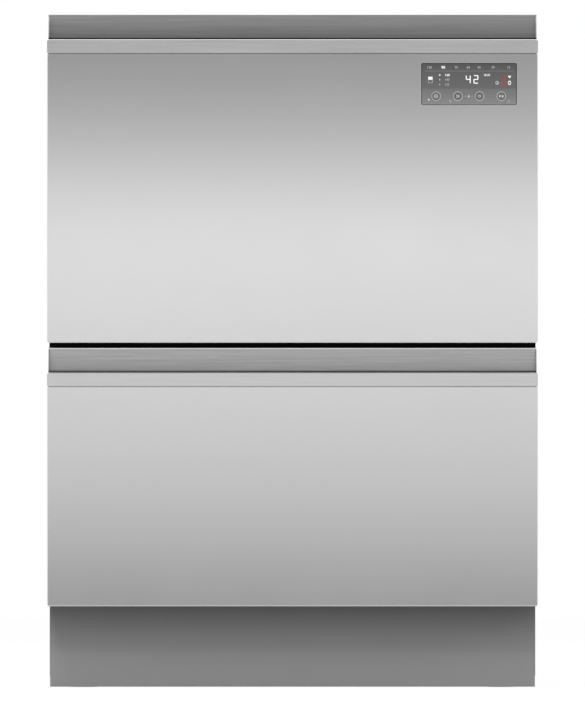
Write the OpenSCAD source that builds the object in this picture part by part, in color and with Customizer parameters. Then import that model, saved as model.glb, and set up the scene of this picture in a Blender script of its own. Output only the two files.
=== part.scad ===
// Double dishwasher drawer: two pull-out wash tubs, one above the other, in one cabinet.
// Millimetres. X runs to the right, Y to the back and Z up.
// The origin is on the floor, under the middle of the machine.

/* [Cabinet] */
// Height from the floor to the top edge of the upper handle
overall_h = 822; // [818:1:850]
// Depth from the front panels to the screw heads on the back
overall_d = 573; // [565:1:600]
// Thickness of the cabinet's sheet steel
sheet = 1.5; // [1.2:0.1:1.8]
// Height of the cabinet's underside above the floor
base_z = 14; // [13:1:18]
// How far the upper handle stands above the cabinet's top
top_step = 2; // [1:0.5:4]
// Height of the toe space under the lower front panel
plinth_h = 99.5; // [97:0.5:101]
// How far the toe kick is set back from the front panels
kick_setback = 62; // [50:1:80]
// Width of the toe kick
kick_w = 593; // [570:1:596]
// Height of the base tray's walls
tray_wall_h = 46; // [30:1:55]
// Distance between two ribs in the base tray
tray_rib_pitch = 80; // [60:1:90]
// How far the base tray stops short of the cabinet's back
service_d = 41; // [38:1:60]
// Height of the open service space at the back
service_h = 98; // [92:1:104]
// Depth of the rail between the two drawers
rail_d = 27.5; // [20:0.5:32]
// Height of the lower holes for the cupboard fixings
cupboard_z = 200; // [170:1:220]
// Distance between the lower and the upper holes for the cupboard fixings
cupboard_pitch = 400; // [360:1:420]

/* [Fronts] */
// Width of the front panels and the handle lips
panel_w = 599; // [596:1:606]
// How far the fronts stand out past the cabinet's sides
front_over = 2.5; // [2:0.5:4]
// Depth of a drawer front, ahead of the cabinet
door_d = 36; // [34:0.5:40]
// Distance from the lower handle's top edge to the upper handle's top edge
pitch = 406.5; // [404:0.5:408]
// Open gap between the two drawer fronts
door_gap = 5.5; // [4:0.5:6]
// Thickness of the front sheets
skin = 1.2; // [1:0.1:1.4]
// Depth of the front panel's side and bottom flanges
flange_d = 18; // [14:0.5:20]
// Outside radius of the front panel's folds
fold_r = 1.5; // [1.4:0.1:1.8]
// Height of the recess wall that shows above the lip
band_h = 30.5; // [28:0.5:34]
// Height of the handle lip
lip_h = 17; // [15:0.5:20]
// Depth of the handle lip, front to back
lip_d = 9; // [8:0.5:10]
// Gap between the lip and the front panel under it
seam = 0.8; // [0.6:0.1:1.2]
// Depth of the finger channel below the lip's top edge
channel_h = 27; // [24:0.5:30]
// Thickness of the handle recess profile
recess_t = 2; // [1.6:0.1:2.4]
// Inside radius at the bottom of the finger channel
channel_r = 10; // [6:0.5:11]
// Columns of pockets moulded in a drawer front's frame
pocket_cols = 8; // [8:1:10]
// Rows of pockets moulded in a drawer front's frame
pocket_rows = 5; // [5:1:6]
// Wall thickness of a drawer front's frame
frame_wall = 4; // [3:0.5:6]

/* [Controls] */
// Width of the control window
window_w = 116.8; // [112:0.2:122]
// Height of the control window
window_h = 51.4; // [48:0.2:56]
// Distance from the front panel's right edge to the control window
window_in = 25.7; // [20:0.1:40]
// Distance from the top of the upper front panel to the window's top edge
window_drop = 11.2; // [9:0.2:20]
// Corner radius of the control window
window_r = 2; // [1:0.5:4]
// Thickness of the control window
window_t = 2.5; // [2:0.1:3]
// How far the window's face lies behind the front panel's face
window_set = 0.2; // [0.1:0.1:0.5]
// Depth of the control electronics behind the window
module_d = 22; // [16:1:24]
// How far the control electronics reach past the window at its sides and foot
module_rim = 3.6; // [2:0.1:4]
// Radius of a button's cap
button_r = 4.5; // [4:0.1:5]
// Distance between the middles of two buttons
button_pitch = 26.5; // [24:0.1:27]
// Middle of the row of buttons, to the left of the window's middle
button_shift = 0.4; // [0:0.1:2]
// Height of the buttons' middles above the window's lower edge
button_up = 10.9; // [9:0.1:13]
// Travel of a button
button_travel = 0.8; // [0.5:0.1:1.2]
// Running gap round a button
button_gap = 0.15; // [0.1:0.05:0.25]
// How far a button's hidden flange reaches past its cap
button_flange = 1; // [0.6:0.1:1.4]

/* [Tubs] */
// Depth of the upper tub, rim to floor
upper_tub_h = 300; // [290:1:310]
// Height of the lower tub's floor above the open service space
lower_floor_up = 42; // [41:1:46]
// Wall thickness of the tubs
tub_wall = 3; // [2.5:0.1:3.5]
// Gap between the tub's back wall and the cabinet's back
rear_space = 45; // [43:1:60]
// Outside radius of the tub's upright corners
tub_r = 45; // [30:1:50]
// Width of the rim on the tub
rim_w = 8.5; // [8:0.1:10]
// Thickness of the rim on the tub
rim_t = 4; // [3:0.5:6]
// How far the rim stands out past the tub's sides
rim_out = 3; // [2:0.1:3.4]
// Depth of the sump below the tub floor
sump_d = 8; // [7:0.5:9]
// Radius of the sump
sump_r = 95; // [85:1:105]
// Radius of the pillar that carries the spray arm
pillar_r = 14; // [12:0.5:15]
// Radius of the spigot that the spray arm turns on
spigot_r = 8; // [7:0.5:9]
// Radius of the wash motor
motor_r = 62; // [55:1:70]
// Height of the wash motor
motor_h = 25; // [22:0.5:25]
// Thickness of the filter plate
filter_t = 2; // [1.5:0.5:3]
// How far the filter plate laps over the edge of the sump
filter_lap = 6; // [4:1:10]

/* [Lids] */
// Gap between a lid and the top of its bay
lid_gap = 4; // [4:0.5:5]
// Height of a lid
lid_h = 18; // [16:0.5:19]
// Thickness of a lid's plate
lid_t = 5; // [4:0.5:6]
// Height of a lid's seal
seal_h = 6; // [5:0.5:7]
// Width of a lid's seal
seal_w = 6; // [5:0.5:6.5]
// Distance that a lid comes down to seal its tub
lid_travel = 7; // [6:0.5:8]
// Radius of a lid's lifting pins
pin_r = 3; // [2.5:0.1:3.5]
// Length of a lid lifter's housing
lifter_l = 54; // [45:1:65]
// Height of a lid lifter's housing
lifter_h = 46; // [40:1:50]
// Distance of the lid's lifting pins from its middle
lifter_y = 150; // [120:1:170]

/* [Runners] */
// Gap between the runners' ends and the cabinet's back panel
runner_end_gap = 36; // [30:1:42]
// Height of a runner's outer rail
runner_h = 45; // [40:1:50]
// Thickness of a complete runner
runner_t = 13; // [12:0.5:13.5]
// Thickness of the runner's steel
rail_t = 1.2; // [1:0.1:1.3]
// Running gap between two rails
rail_gap = 0.4; // [0.3:0.05:0.5]
// Height of the pressed bosses that carry the outer rails
boss_h = 5; // [4.5:0.5:6]
// Distance from the tub's rim down to the middle of its runners
runner_drop = 110; // [95:1:125]

/* [Racks] */
// Gap between a dish rack and the tub's side walls
rack_side_gap = 24.5; // [20:0.5:34]
// Gap between a dish rack and the tub's front and back walls
rack_end_gap = 27.25; // [25.25:0.25:37]
// Height of a dish rack's walls
rack_h = 75; // [60:1:80]
// Height of a rack's floor wires above the tub floor
rack_up = 42; // [40:1:46]
// Radius of a rack's floor and upright wires
wire_r = 1.7; // [1.5:0.1:1.9]
// Radius of a rack's rim wires and folding rods
rim_wire_r = 2.2; // [2:0.1:2.6]
// Distance between two wires of a rack
wire_pitch = 36; // [30:1:42]
// Height of the plate tines
tine_h = 70; // [55:1:72]
// Height of the upper cup shelf above the rack floor
upper_shelf_up = 136; // [130:1:145]
// Height of the lower cup shelf above the rack floor
lower_shelf_up = 88; // [86:1:92]
// Width of a cup shelf
shelf_w = 100; // [90:1:102]
// Length of a cup shelf
shelf_l = 380; // [340:1:390]
// Width of a cutlery basket
basket_w = 75; // [65:1:80]
// Length of a cutlery basket
basket_l = 240; // [200:1:260]
// Room between a cutlery basket's handle and the lower tub's rim
basket_room = 49.1; // [47:0.1:64]
// Wall thickness of a cutlery basket
basket_t = 2; // [1.6:0.2:2.6]
// Height of a cutlery basket's handle above its walls
handle_up = 34; // [30:1:40]
// Compartments along a cutlery basket
basket_cells = 3; // [2:1:4]

/* [Wash system] */
// Gap between the circle that the spray arm's tips sweep and the tub's walls
spray_side_gap = 20.25; // [14.25:0.25:42]
// Width of the spray arm
spray_w = 44; // [36:1:50]
// Height of the spray arm's blades
spray_t = 12; // [10:0.5:13]
// Radius of the spray arm's hub
spray_hub_r = 26; // [22:0.5:32]
// Height of the spray arm's underside above the filter plate
spray_up = 10; // [8:0.5:12]
// Running gap of the spray arm on its spigot
spin_gap = 0.05; // [0.02:0.01:0.1]
// Width of the detergent dispenser
dispenser_w = 170; // [150:1:190]
// Height of the detergent dispenser
dispenser_h = 70; // [64:1:76]
// How far the detergent dispenser stands off the tub's front wall
dispenser_d = 18; // [16:0.5:19]
// Width of the detergent cup
cup_w = 70; // [60:1:75]
// Height of the detergent cup
cup_h = 44; // [38:1:46]

/* [Links] */
// Length of a link arm, pivot to pivot
link_l = 460; // [440:1:470]
// Width of a link arm
link_w = 22; // [18:1:24]
// Height of a link arm
link_h = 8.5; // [7:0.5:9]
// Radius of the link pivots
link_pin_r = 5; // [4:0.5:6]
// Distance from the cabinet's back panel to the link's fixed pivot
link_back = 16; // [14:1:20]
// Distance from the tub's back to the link's moving pivot
link_front = 17; // [14:1:22]

/* [Services] */
// Radius of the water inlet's thread
inlet_r = 13.2; // [12:0.1:14]
// Length of the water inlet's thread
inlet_l = 14; // [12:1:18]
// Radius of the drain spigot
drain_r = 9.5; // [8:0.1:11]
// Length of the drain spigot
drain_l = 26; // [20:1:30]
// Radius of the hole in the mains cable gland
gland_r = 4.5; // [3.5:0.1:6]
// Length of the mains cable gland
gland_l = 16; // [12:1:22]
// Radius of the levelling feet's studs
stud_r = 5; // [4:0.5:6]
// Radius of the levelling feet's pads
foot_r = 21; // [17:1:24]
// Height of the levelling feet's pads
pad_h = 5; // [4:0.5:6]
// Radius of a screw's shank
screw_r = 2; // [1.8:0.1:2.4]
// Radius of a screw's head
screw_head_r = 4; // [3.4:0.1:5]
// Height of a screw's head
screw_head_h = 1.5; // [1.2:0.1:1.9]
// Width of the power module
power_w = 125; // [100:1:126]
// Depth of the power module
power_d = 107.2; // [90:0.1:120]
// Width of the water inlet valve's plate
valve_w = 40; // [34:1:44]
// Width of the drain outlet's plate
drain_plate_w = 36; // [30:1:42]
// Radius of the fixing holes for the worktop and the cupboards
fixing_r = 2.5; // [2:0.1:3]
// Distance between the two worktop fixing holes
fixing_pitch = 400; // [340:1:440]

/* [Hidden] */
$fn = 48;
seat = 0.3;               // gap at rest between a loose piece and what it sits on
weld = 0.5;               // how far two welded wires sink into each other
joint_line = 0.1;         // gap between two separate pieces of one rack
door_clear = 0.5;         // gap between a drawer front and the cabinet
side_x = panel_w / 2 - front_over;
side_in = side_x - sheet;
front_y = -overall_d / 2;
back_y = overall_d / 2 - screw_head_h;
door_back = front_y + door_d;
rail_y = door_back + door_clear;
side_y = rail_y + sheet;
cabinet_top = overall_h - top_step;
kick_y = front_y + kick_setback;
kick_over = 1.5;          // how far the toe kick reaches up past the foot of the lower front
kick_room = 4.5;          // room between the toe kick's face and the base tray
notch_in = 2;             // how far the side panels' toe notch lies behind the toe kick's face
kick_top = plinth_h + kick_over;
tray_y0 = kick_y + kick_room;
tray_y1 = back_y - service_d;
tray_top = base_z + tray_wall_h;
edge = 12;                // width of the cabinet's inner flanges
cupboard_zs = [cupboard_z, cupboard_z + cupboard_pitch];
screw_fit = 0.1;

upper_top = overall_h;
lower_top = overall_h - pitch;
upper_bottom = lower_top + door_gap;
lower_bottom = plinth_h;

runner_x = side_in - boss_h;
tub_x = runner_x - runner_t;
tub_y0 = door_back;
tub_y1 = back_y - rear_space;
tub_my = (tub_y0 + tub_y1) / 2;
rim_x = tub_x + rim_out;
rail_in = 3;
rail_y0 = tub_y0 + rail_in;
runner_l = back_y - sheet - runner_end_gap - rail_y0;
recess_x = panel_w / 2 - fold_r;
boss_r = 12;
boss_in = 45;
boss_ys = [rail_y0 + boss_in, rail_y0 + runner_l / 2, rail_y0 + runner_l - boss_in];

lid_x = rim_x - seat;
lid_in = 4;
lid_y0 = tub_y0 + lid_in;
lid_y1 = tub_y1;
lid_my = (lid_y0 + lid_y1) / 2;
lifter_gap = 1.2;
lifter_x = lid_x + lifter_gap;
pin_l = 8;
recess_y = door_back - recess_t;
cut_y = door_back + recess_t;               // past the back of the fronts' folds
lip_back = front_y + lip_d;

rack_x = tub_x - tub_wall - rack_side_gap;
rack_w = 2 * rack_x;
rack_d = tub_y1 - tub_y0 - 2 * tub_wall - 2 * rack_end_gap;
rack_y0 = tub_my - rack_d / 2;
rack_y1 = tub_my + rack_d / 2;
floor_wire_z = rack_up + 2 * wire_r - weld;      // axis of a rack's long floor wires
tine_z = floor_wire_z + wire_r + rim_wire_r + seat;
row_xs = [-5 * wire_pitch, -2 * wire_pitch];
fold_x = wire_pitch;
clip_ys = [for (n = [-4.5, -1.5, 1.5, 4.5]) tub_my + n * wire_pitch];
post_in = 30;
post_ys = [tub_my - shelf_l / 2 + post_in, tub_my + shelf_l / 2 - post_in];
post_top = 3;
row_in = 15;
row_l = rack_d - 2 * row_in;
basket_gap = 8;
basket_x = rack_x - basket_gap - basket_w / 2;
basket_z = floor_wire_z + wire_r + seat;
clip_w = 7;

spray_z = spray_up + filter_t;
spray_r = (tub_y1 - tub_y0) / 2 - tub_wall - spray_side_gap;
link_x = link_l / 2;
link_a_y = back_y - sheet - link_back;
link_b_y = tub_y1 - link_front;
link_span = link_a_y - link_b_y;
link_rest = acos(link_span / (2 * link_l));       // angle of each arm to the line between the end pivots
link_drop = 7;

dispenser_x = -60;
dispenser_drop = 22;
cup_in = 10;
cap_in = 38;
cup_x = dispenser_x - dispenser_w / 2 + cup_w / 2 + cup_in;
cap_x = dispenser_x + dispenser_w / 2 - cap_in;
cap_r = 17;
hinge_r = 2.4;

foot_inset = 40;
foot_xs = [-side_in + foot_inset, side_in - foot_inset];
foot_in_y = 32;
foot_ys = [tray_y0 + foot_in_y, tray_y1 - foot_in_y];
stud_l = 70;
nut_h = 4;
nut_boss_h = 22;
nut_boss_r = stud_r + 7;
kick_tab_x = 200;
kick_tab_w = 20;
kick_tab_h = 22;
tray_wall = 2.5;
tray_rib_h = 12;
kick_lift = 0.5;
service_z = 76;
service_plate = 3;
valve_x = -200;
drain_x = -120;
power_gap = 3.5;
gland_x = side_in - foot_inset - nut_boss_r - power_gap - 0.4 * power_w;
gland_plate_w = 44;
plate_drop = 26;
plate_rise = 16;
valve_d = 34;
coil_r = 11;
coil_h = 19;

function recess_bottom(top) = top - band_h - channel_h - recess_t;
function rim_z(top) = top - lid_gap - lid_h - seal_h - lid_travel - door_clear;
function floor_z(top, tub_h) = rim_z(top) - tub_h;
function under_z(top, tub_h) = floor_z(top, tub_h) - tub_wall;
function link_z(top, tub_h) = under_z(top, tub_h) - link_drop - link_h;
function runner_z(top) = rim_z(top) - runner_drop;
function button_x(n) = window_x - button_shift + (n - 1.5) * button_pitch;

lower_tub_h = rim_z(lower_top) - service_h - lower_floor_up;
basket_h = lower_tub_h - basket_z - handle_up - basket_room;

window_z1 = upper_top - band_h - lip_h - seam - window_drop;
window_z0 = window_z1 - window_h;
button_z = window_z0 + button_up;
window_y = front_y + window_set;
window_x = panel_w / 2 - window_in - window_w / 2;

// ---- Shared shapes ----

// A box from one corner to the other
module slab(a, b) {
    translate(a) cube(b - a);
}

// A flat outline with Y across and Z up, drawn out along X from x0
module along_x(x0, l) {
    translate([x0, 0, 0]) rotate([90, 0, 90]) linear_extrude(l) children();
}

// A flat outline with X across and Z up, drawn out along Y from y0
module along_y(y0, l) {
    translate([0, y0 + l, 0]) rotate([90, 0, 0]) linear_extrude(l) children();
}

// A rectangle from a to b with round corners
module round_rect(a, b, r) {
    translate([a.x + r, a.y]) square([b.x - a.x - 2 * r, b.y - a.y]);
    translate([a.x, a.y + r]) square([b.x - a.x, b.y - a.y - 2 * r]);
    for (x = [a.x + r, b.x - r], y = [a.y + r, b.y - r])
        translate([x, y]) circle(r);
}

// A folded sheet seen end on: w wide and d deep, with its two front corners round
module folded_edge(w, d, r) {
    translate([-w / 2, r]) square([w, d - r]);
    translate([-w / 2 + r, 0]) square([w - 2 * r, d]);
    for (x = [-w / 2 + r, w / 2 - r])
        translate([x, r]) circle(r);
}

module both_sides() {
    children();
    mirror([1, 0, 0]) children();
}

module rod_x(p, l, r) {
    translate(p) rotate([0, 90, 0]) cylinder(h = l, r = r);
}

module rod_y(p, l, r) {
    translate(p) rotate([-90, 0, 0]) cylinder(h = l, r = r);
}

module rod_z(p, l, r) {
    translate(p) cylinder(h = l, r = r);
}

// ---- Cabinet ----

module side_panel() {
    color("silver") difference() {
        union() {
            along_x(side_in, sheet) polygon([
                [side_y, kick_top], [kick_y + notch_in, kick_top], [kick_y + notch_in, base_z],
                [back_y - sheet, base_z],
                [back_y - sheet, cabinet_top - sheet], [side_y, cabinet_top - sheet]
            ]);
            slab([runner_x, side_y, kick_top], [side_in, side_y + sheet, cabinet_top - sheet]);
            slab([side_in - edge, back_y - 2 * sheet, service_h],
                 [side_in, back_y - sheet, cabinet_top - sheet]);
            for (y = boss_ys, top = [upper_top, lower_top])
                rod_x([runner_x, y, runner_z(top)], boss_h + sheet, boss_r);
        }
        for (y = boss_ys, top = [upper_top, lower_top])
            rod_x([runner_x - 1, y, runner_z(top)], boss_h + sheet + 2, screw_r + screw_fit);
        for (z = cupboard_zs)
            rod_x([side_in - 1, side_y + edge, z], sheet + 2, fixing_r);
        for (p = back_screws)
            rod_y([abs(p.x), back_y - 3 * sheet, p.y], 2 * sheet, screw_r + screw_fit);
    }
}

module left_side_panel() {
    mirror([1, 0, 0]) side_panel();
}

module right_side_panel() {
    side_panel();
}

module top_panel() {
    color("silver") difference() {
        union() {
            slab([-side_x, rail_y, cabinet_top - sheet], [side_x, back_y, cabinet_top]);
            slab([-side_x, rail_y, cabinet_top - 2 * edge], [side_x, side_y, cabinet_top]);
            slab([-side_in + edge + 1, back_y - 2 * sheet, cabinet_top - 2 * edge],
                 [side_in - edge - 1, back_y - sheet, cabinet_top]);
        }
        for (x = [-fixing_pitch / 2, fixing_pitch / 2])
            rod_z([x, side_y + edge, cabinet_top - sheet - 1], sheet + 2, fixing_r);
        for (p = back_screws)
            rod_y([p.x, back_y - 3 * sheet, p.y], 2 * sheet, screw_r + screw_fit);
    }
}

// The bracket on the back panel that holds a link's fixed pivot
module link_bracket(top, tub_h) {
    z = link_z(top, tub_h) + link_h + seat;
    slab([link_x - bracket_w, link_a_y - edge, z], [link_x + bracket_w, back_y - sheet, z + bracket_t]);
    rod_z([link_x, link_a_y, z - link_h], link_h + bracket_t, link_pin_r);
}

module back_panel() {
    color("gainsboro") {
        difference() {
            slab([-side_x, back_y - sheet, service_h], [side_x, back_y, cabinet_top - sheet]);
            for (p = back_screws)
                rod_y([p.x, back_y - 2 * sheet, p.y], 3 * sheet, screw_r + screw_fit);
            for (n = [-4:3])
                slab([n * vent_pitch, back_y - 2 * sheet, vent_z],
                     [(n + 0.4) * vent_pitch, back_y + 1, vent_z + vent_h]);
        }
        for (z = [rim_z(lower_top) - back_rib_drop, rim_z(upper_top) - back_rib_drop, vent_z - vent_h])
            slab([-tub_x + tub_r, back_y - sheet - back_rib_d, z],
                 [tub_x - tub_r, back_y - sheet, z + back_rib_h]);
        link_bracket(upper_top, upper_tub_h);
        link_bracket(lower_top, lower_tub_h);
    }
}
back_rib_drop = 80;
back_rib_d = 3;
back_rib_h = 10;
vent_pitch = 15;
vent_h = 50;
vent_z = upper_bottom + 140;
bracket_w = 18;
bracket_t = 4;
back_screw_x = side_in - edge / 2;
back_screw_in = 100;
back_screw_drop = 16;
back_screws = [[-back_screw_x, service_h + edge], [back_screw_x, service_h + edge],
               for (x = [-back_screw_x, -back_screw_in, back_screw_in, back_screw_x])
                   [x, cabinet_top - back_screw_drop]];

module base_tray() {
    color("dimgray") difference() {
        union() {
            difference() {
                slab([-side_in, tray_y0, base_z], [side_in, tray_y1, tray_top]);
                slab([-side_in + tray_wall, tray_y0 + tray_wall, base_z + tray_wall],
                     [side_in - tray_wall, tray_y1 - tray_wall, tray_top + 1]);
            }
            for (x = foot_xs, y = foot_ys)
                rod_z([x, y, base_z], nut_boss_h, nut_boss_r);
            // tabs that the toe kick is fixed to
            for (x = [-kick_tab_x, 0, kick_tab_x])
                slab([x - kick_tab_w / 2, kick_y + skin, tray_top - kick_tab_h],
                     [x + kick_tab_w / 2, tray_y0 + 1, tray_top]);
            for (n = [-3:3])
                slab([n * tray_rib_pitch - 1, tray_y0 + 1, base_z + 1],
                     [n * tray_rib_pitch + 1, tray_y1 - 1, base_z + tray_rib_h]);
        }
        for (x = foot_xs, y = foot_ys)
            rod_z([x, y, base_z - 1], nut_boss_h + 2, stud_r + spin_gap);
    }
}

module middle_rail() {
    z1 = upper_bottom + rail_up;
    color("black") {
        slab([-side_x, rail_y, lower_top - edge], [side_x, side_y, z1]);
        slab([-runner_x + 1, side_y, z1 - sheet], [runner_x - 1, rail_y + rail_d, z1]);
        both_sides()
            slab([runner_x + seat, side_y + sheet, z1 - edge], [side_in, rail_y + cheek * rail_d, z1]);
    }
}
rail_up = 4;
cheek = 0.8;                // share of the rail's depth that its end cheeks reach

module toe_kick() {
    z1 = kick_top - 0.5;
    color("gray") {
        slab([-kick_w / 2, kick_y, kick_lift], [kick_w / 2, kick_y + skin, z1]);
        slab([-side_in + seat, kick_y, z1 - skin], [side_in - seat, kick_y + edge, z1]);
    }
}

module levelling_feet() {
    nut_z = base_z - nut_h - 0.2;
    color("black") for (x = foot_xs, y = foot_ys) translate([x, y, 0]) {
        rod_z([0, 0, 0], pad_h, foot_r);
        rod_z([0, 0, pad_h], nut_z - pad_h - 0.4, stud_r + 5);
        rod_z([0, 0, 0], stud_l, stud_r);
        difference() {
            translate([0, 0, nut_z]) cylinder(h = nut_h, r = stud_r + 4, $fn = 6);
            rod_z([0, 0, 0], base_z, stud_r + spin_gap);
        }
    }
}

// ---- Runners: each rail is a channel, and its section starts at the cabinet's side ----

module outer_section() {
    difference() {
        translate([runner_x - runner_t + rail_t + rail_gap, -runner_h / 2])
            square([runner_t - rail_t - rail_gap, runner_h]);
        translate([0, -runner_h / 2 + rail_t]) square([runner_x - rail_t, runner_h - 2 * rail_t]);
    }
}

module middle_section() {
    h = runner_h - 2 * rail_t - 2 * rail_gap;
    difference() {
        translate([runner_x - runner_t + rail_t + rail_gap, -h / 2])
            square([runner_t - 2 * rail_t - 2 * rail_gap, h]);
        translate([0, -h / 2 + rail_t]) square([runner_x - 2 * rail_t - rail_gap, h - 2 * rail_t]);
    }
}

module inner_section() {
    h = runner_h - 4 * rail_t - 4 * rail_gap;
    difference() {
        translate([tub_x, -h / 2]) square([runner_t - 2 * rail_t - 2 * rail_gap, h]);
        translate([tub_x + rail_t, -h / 2 + rail_t]) square([runner_t, h - 2 * rail_t]);
    }
}

module runner_outer_rails() {
    color("lightsteelblue") both_sides() for (top = [upper_top, lower_top])
        translate([0, 0, runner_z(top)]) difference() {
            along_y(rail_y0, runner_l) outer_section();
            for (y = boss_ys)
                rod_x([runner_x - rail_t - 1, y, 0], rail_t + 2, screw_r + screw_fit);
        }
}

module runner_middle_rails(top) {
    color("lightsteelblue") both_sides() translate([0, 0, runner_z(top)]) difference() {
        along_y(rail_y0 + 1, runner_l - 2) middle_section();
        for (y = boss_ys)
            rod_x([runner_x - 2 * rail_t - 2, y, 0], rail_t + 4, screw_head_r + 1);
    }
}

module runner_inner_rails(top) {
    color("lightsteelblue") both_sides() translate([0, 0, runner_z(top)]) difference() {
        along_y(rail_y0 + 2, runner_l - 4) inner_section();
        for (n = [0:4])
            rod_x([tub_x - 1, tub_y0 + (n + 1) * rail_hole_pitch, 0], rail_t + 2, rail_hole_r);
    }
}
rail_hole_pitch = 80;
rail_hole_r = 5;

// ---- Drawer fronts ----

// A front panel: sheet folded back on all four sides
module front_panel(z0, z1) {
    color("silver") difference() {
        union() {
            difference() {
                translate([0, front_y, z0 + fold_r]) linear_extrude(z1 - z0 - fold_r)
                    folded_edge(panel_w, flange_d, fold_r);
                slab([-panel_w / 2 + skin, front_y + skin, z0], [panel_w / 2 - skin, cut_y, z1 - skin]);
                slab([-panel_w / 2 - 1, lip_back, z1 - 2 * fold_r], [panel_w / 2 + 1, cut_y, z1 + 1]);
            }
            difference() {
                along_x(-panel_w / 2 + fold_r, panel_w - 2 * fold_r) {
                    translate([front_y + fold_r, z0]) square([flange_d - fold_r, 3 * fold_r]);
                    translate([front_y, z0 + fold_r]) square([flange_d, 2 * fold_r]);
                    translate([front_y + fold_r, z0 + fold_r]) circle(fold_r);
                }
                slab([-panel_w / 2, front_y + skin, z0 + skin], [panel_w / 2, cut_y, z1]);
            }
        }
        if (z1 > window_z1)
            window_outline(seat, front_y - 1, skin + 2);
    }
}

// The control window's outline, grown by g and drawn out along Y
module window_outline(g, y, l) {
    along_y(y, l) round_rect([window_x - window_w / 2 - g, window_z0 - g],
                             [window_x + window_w / 2 + g, window_z1 + g], window_r + g);
}

module handle_lip(top) {
    z1 = top - band_h;
    z0 = z1 - lip_h;
    color("silver") {
        along_x(-panel_w / 2 + fold_r, panel_w - 2 * fold_r) difference() {
            union() {
                translate([front_y, z0]) square([lip_d, lip_h - fold_r]);
                translate([front_y + fold_r, z0]) square([lip_d - 2 * fold_r, lip_h]);
                for (y = [front_y + fold_r, lip_back - fold_r])
                    translate([y, z1 - fold_r]) circle(fold_r);
            }
            translate([front_y + skin, z0 - 1]) square([lip_d - 2 * skin, lip_h - skin + 1]);
        }
        for (x = [-panel_w / 2, panel_w / 2 - fold_r])
            slab([x, front_y, z0], [x + fold_r, lip_back, z1 - fold_r]);
    }
}

// The handle recess: a rolled profile with closed ends
module handle_recess(top) {
    z0 = top - band_h - channel_h;
    y0 = lip_back;
    color("gray") {
        along_x(-recess_x, 2 * recess_x) difference() {
            union() {
                translate([y0, z0 + channel_r]) square([recess_t + 2, channel_h - channel_r - 3]);
                translate([y0 + channel_r + recess_t, z0 - recess_t])
                    square([door_back - y0 - 2 * channel_r - 2 * recess_t, recess_t + 1]);
                for (y = [y0 + recess_t + channel_r, door_back - recess_t - channel_r])
                    translate([y, z0 + channel_r]) circle(channel_r + recess_t);
                translate([recess_y, z0 + channel_r])
                    square([recess_t, band_h + channel_h - channel_r - recess_t / 2]);
                translate([door_back - recess_t / 2, top - recess_t / 2]) circle(recess_t / 2);
            }
            union() {
                translate([y0 + recess_t, z0 + channel_r])
                    square([recess_y - y0 - recess_t, band_h + channel_h]);
                translate([y0 + recess_t + channel_r, z0])
                    square([recess_y - y0 - recess_t - 2 * channel_r, 2 * channel_r]);
                for (y = [y0 + recess_t + channel_r, recess_y - channel_r])
                    translate([y, z0 + channel_r]) circle(channel_r);
            }
        }
        for (x = [-recess_x, recess_x - skin])
            along_x(x, skin) polygon([
                [y0 + channel_r, z0], [y0 + 1, z0 + channel_r], [y0 + 1, z0 + channel_h - 3],
                [y0 + 4, z0 + channel_h - 1], [recess_y - 8, top - 8], [recess_y + 1, top - 2],
                [recess_y + 1, z0 + channel_r], [recess_y - channel_r + 2, z0]
            ]);
    }
}

// The moulded frame that carries a front panel and its handle, with pockets open to the front
module front_frame(top, z0, has_window) {
    z1 = recess_bottom(top);
    y0 = front_y + skin;
    pocket_w = (2 * recess_x - frame_wall) / pocket_cols - frame_wall;
    pocket_h = (z1 - z0 - 2 * frame_foot - frame_wall) / pocket_rows - frame_wall;
    color("dimgray") difference() {
        union() {
            slab([-recess_x, front_y + flange_d + seat, z0 + skin], [recess_x, door_back, z1]);
            slab([-panel_w / 2 + skin, y0, z0 + skin], [panel_w / 2 - skin, front_y + flange_d + seat, z1]);
        }
        for (c = [0:pocket_cols - 1], r = [0:pocket_rows - 1])
            translate([-recess_x + frame_wall + c * (pocket_w + frame_wall), y0 - 1,
                       z0 + frame_foot + frame_wall + r * (pocket_h + frame_wall)])
                cube([pocket_w, door_d - frame_wall - skin + 1, pocket_h]);
        if (has_window)
            slab([window_x - window_w / 2 - module_rim - seat, y0 - 1, window_z0 - module_rim - seat],
                 [window_x + window_w / 2 + module_rim + seat,
                  window_y + window_t + module_d + seat, z1 + 1]);
    }
}
frame_foot = 10;

// ---- Controls ----

module control_window() {
    color("dimgray") difference() {
        window_outline(0, window_y, window_t);
        for (n = [0:3])
            rod_y([button_x(n), window_y - 1, button_z], window_t + 2, button_r + button_gap);
    }
}

module control_module() {
    y0 = window_y + window_t;
    color("black") difference() {
        slab([window_x - window_w / 2 - module_rim, y0, window_z0 - module_rim],
             [window_x + window_w / 2 + module_rim, y0 + module_d, recess_bottom(upper_top) - seat]);
        for (n = [0:3]) {
            rod_y([button_x(n), y0 - 1, button_z], 1 + flange_t + button_travel + seat,
                  button_r + button_flange + button_gap);
            rod_y([button_x(n), y0 - 1, button_z], 1 + stem_l + button_travel + seat, stem_r + button_gap);
        }
    }
}

// A push button: its cap in the window, and a flange and a stem behind it
module button(n) {
    y0 = window_y + window_t;
    color("gray") {
        rod_y([button_x(n), window_y, button_z], window_t + 0.5, button_r);
        rod_y([button_x(n), y0 + 0.1, button_z], flange_t - 0.1, button_r + button_flange);
        rod_y([button_x(n), window_y, button_z], window_t + stem_l, stem_r);
    }
}
flange_t = 1;
stem_r = 3;
stem_l = 2.2;

// ---- Tubs ----

// The space inside a tub, from z0 up
module tub_space(z0, h, g) {
    translate([0, 0, z0]) linear_extrude(h)
        round_rect([-tub_x + g, tub_y0 + g], [tub_x - g, tub_y1 - g], tub_r - g);
}

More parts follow.
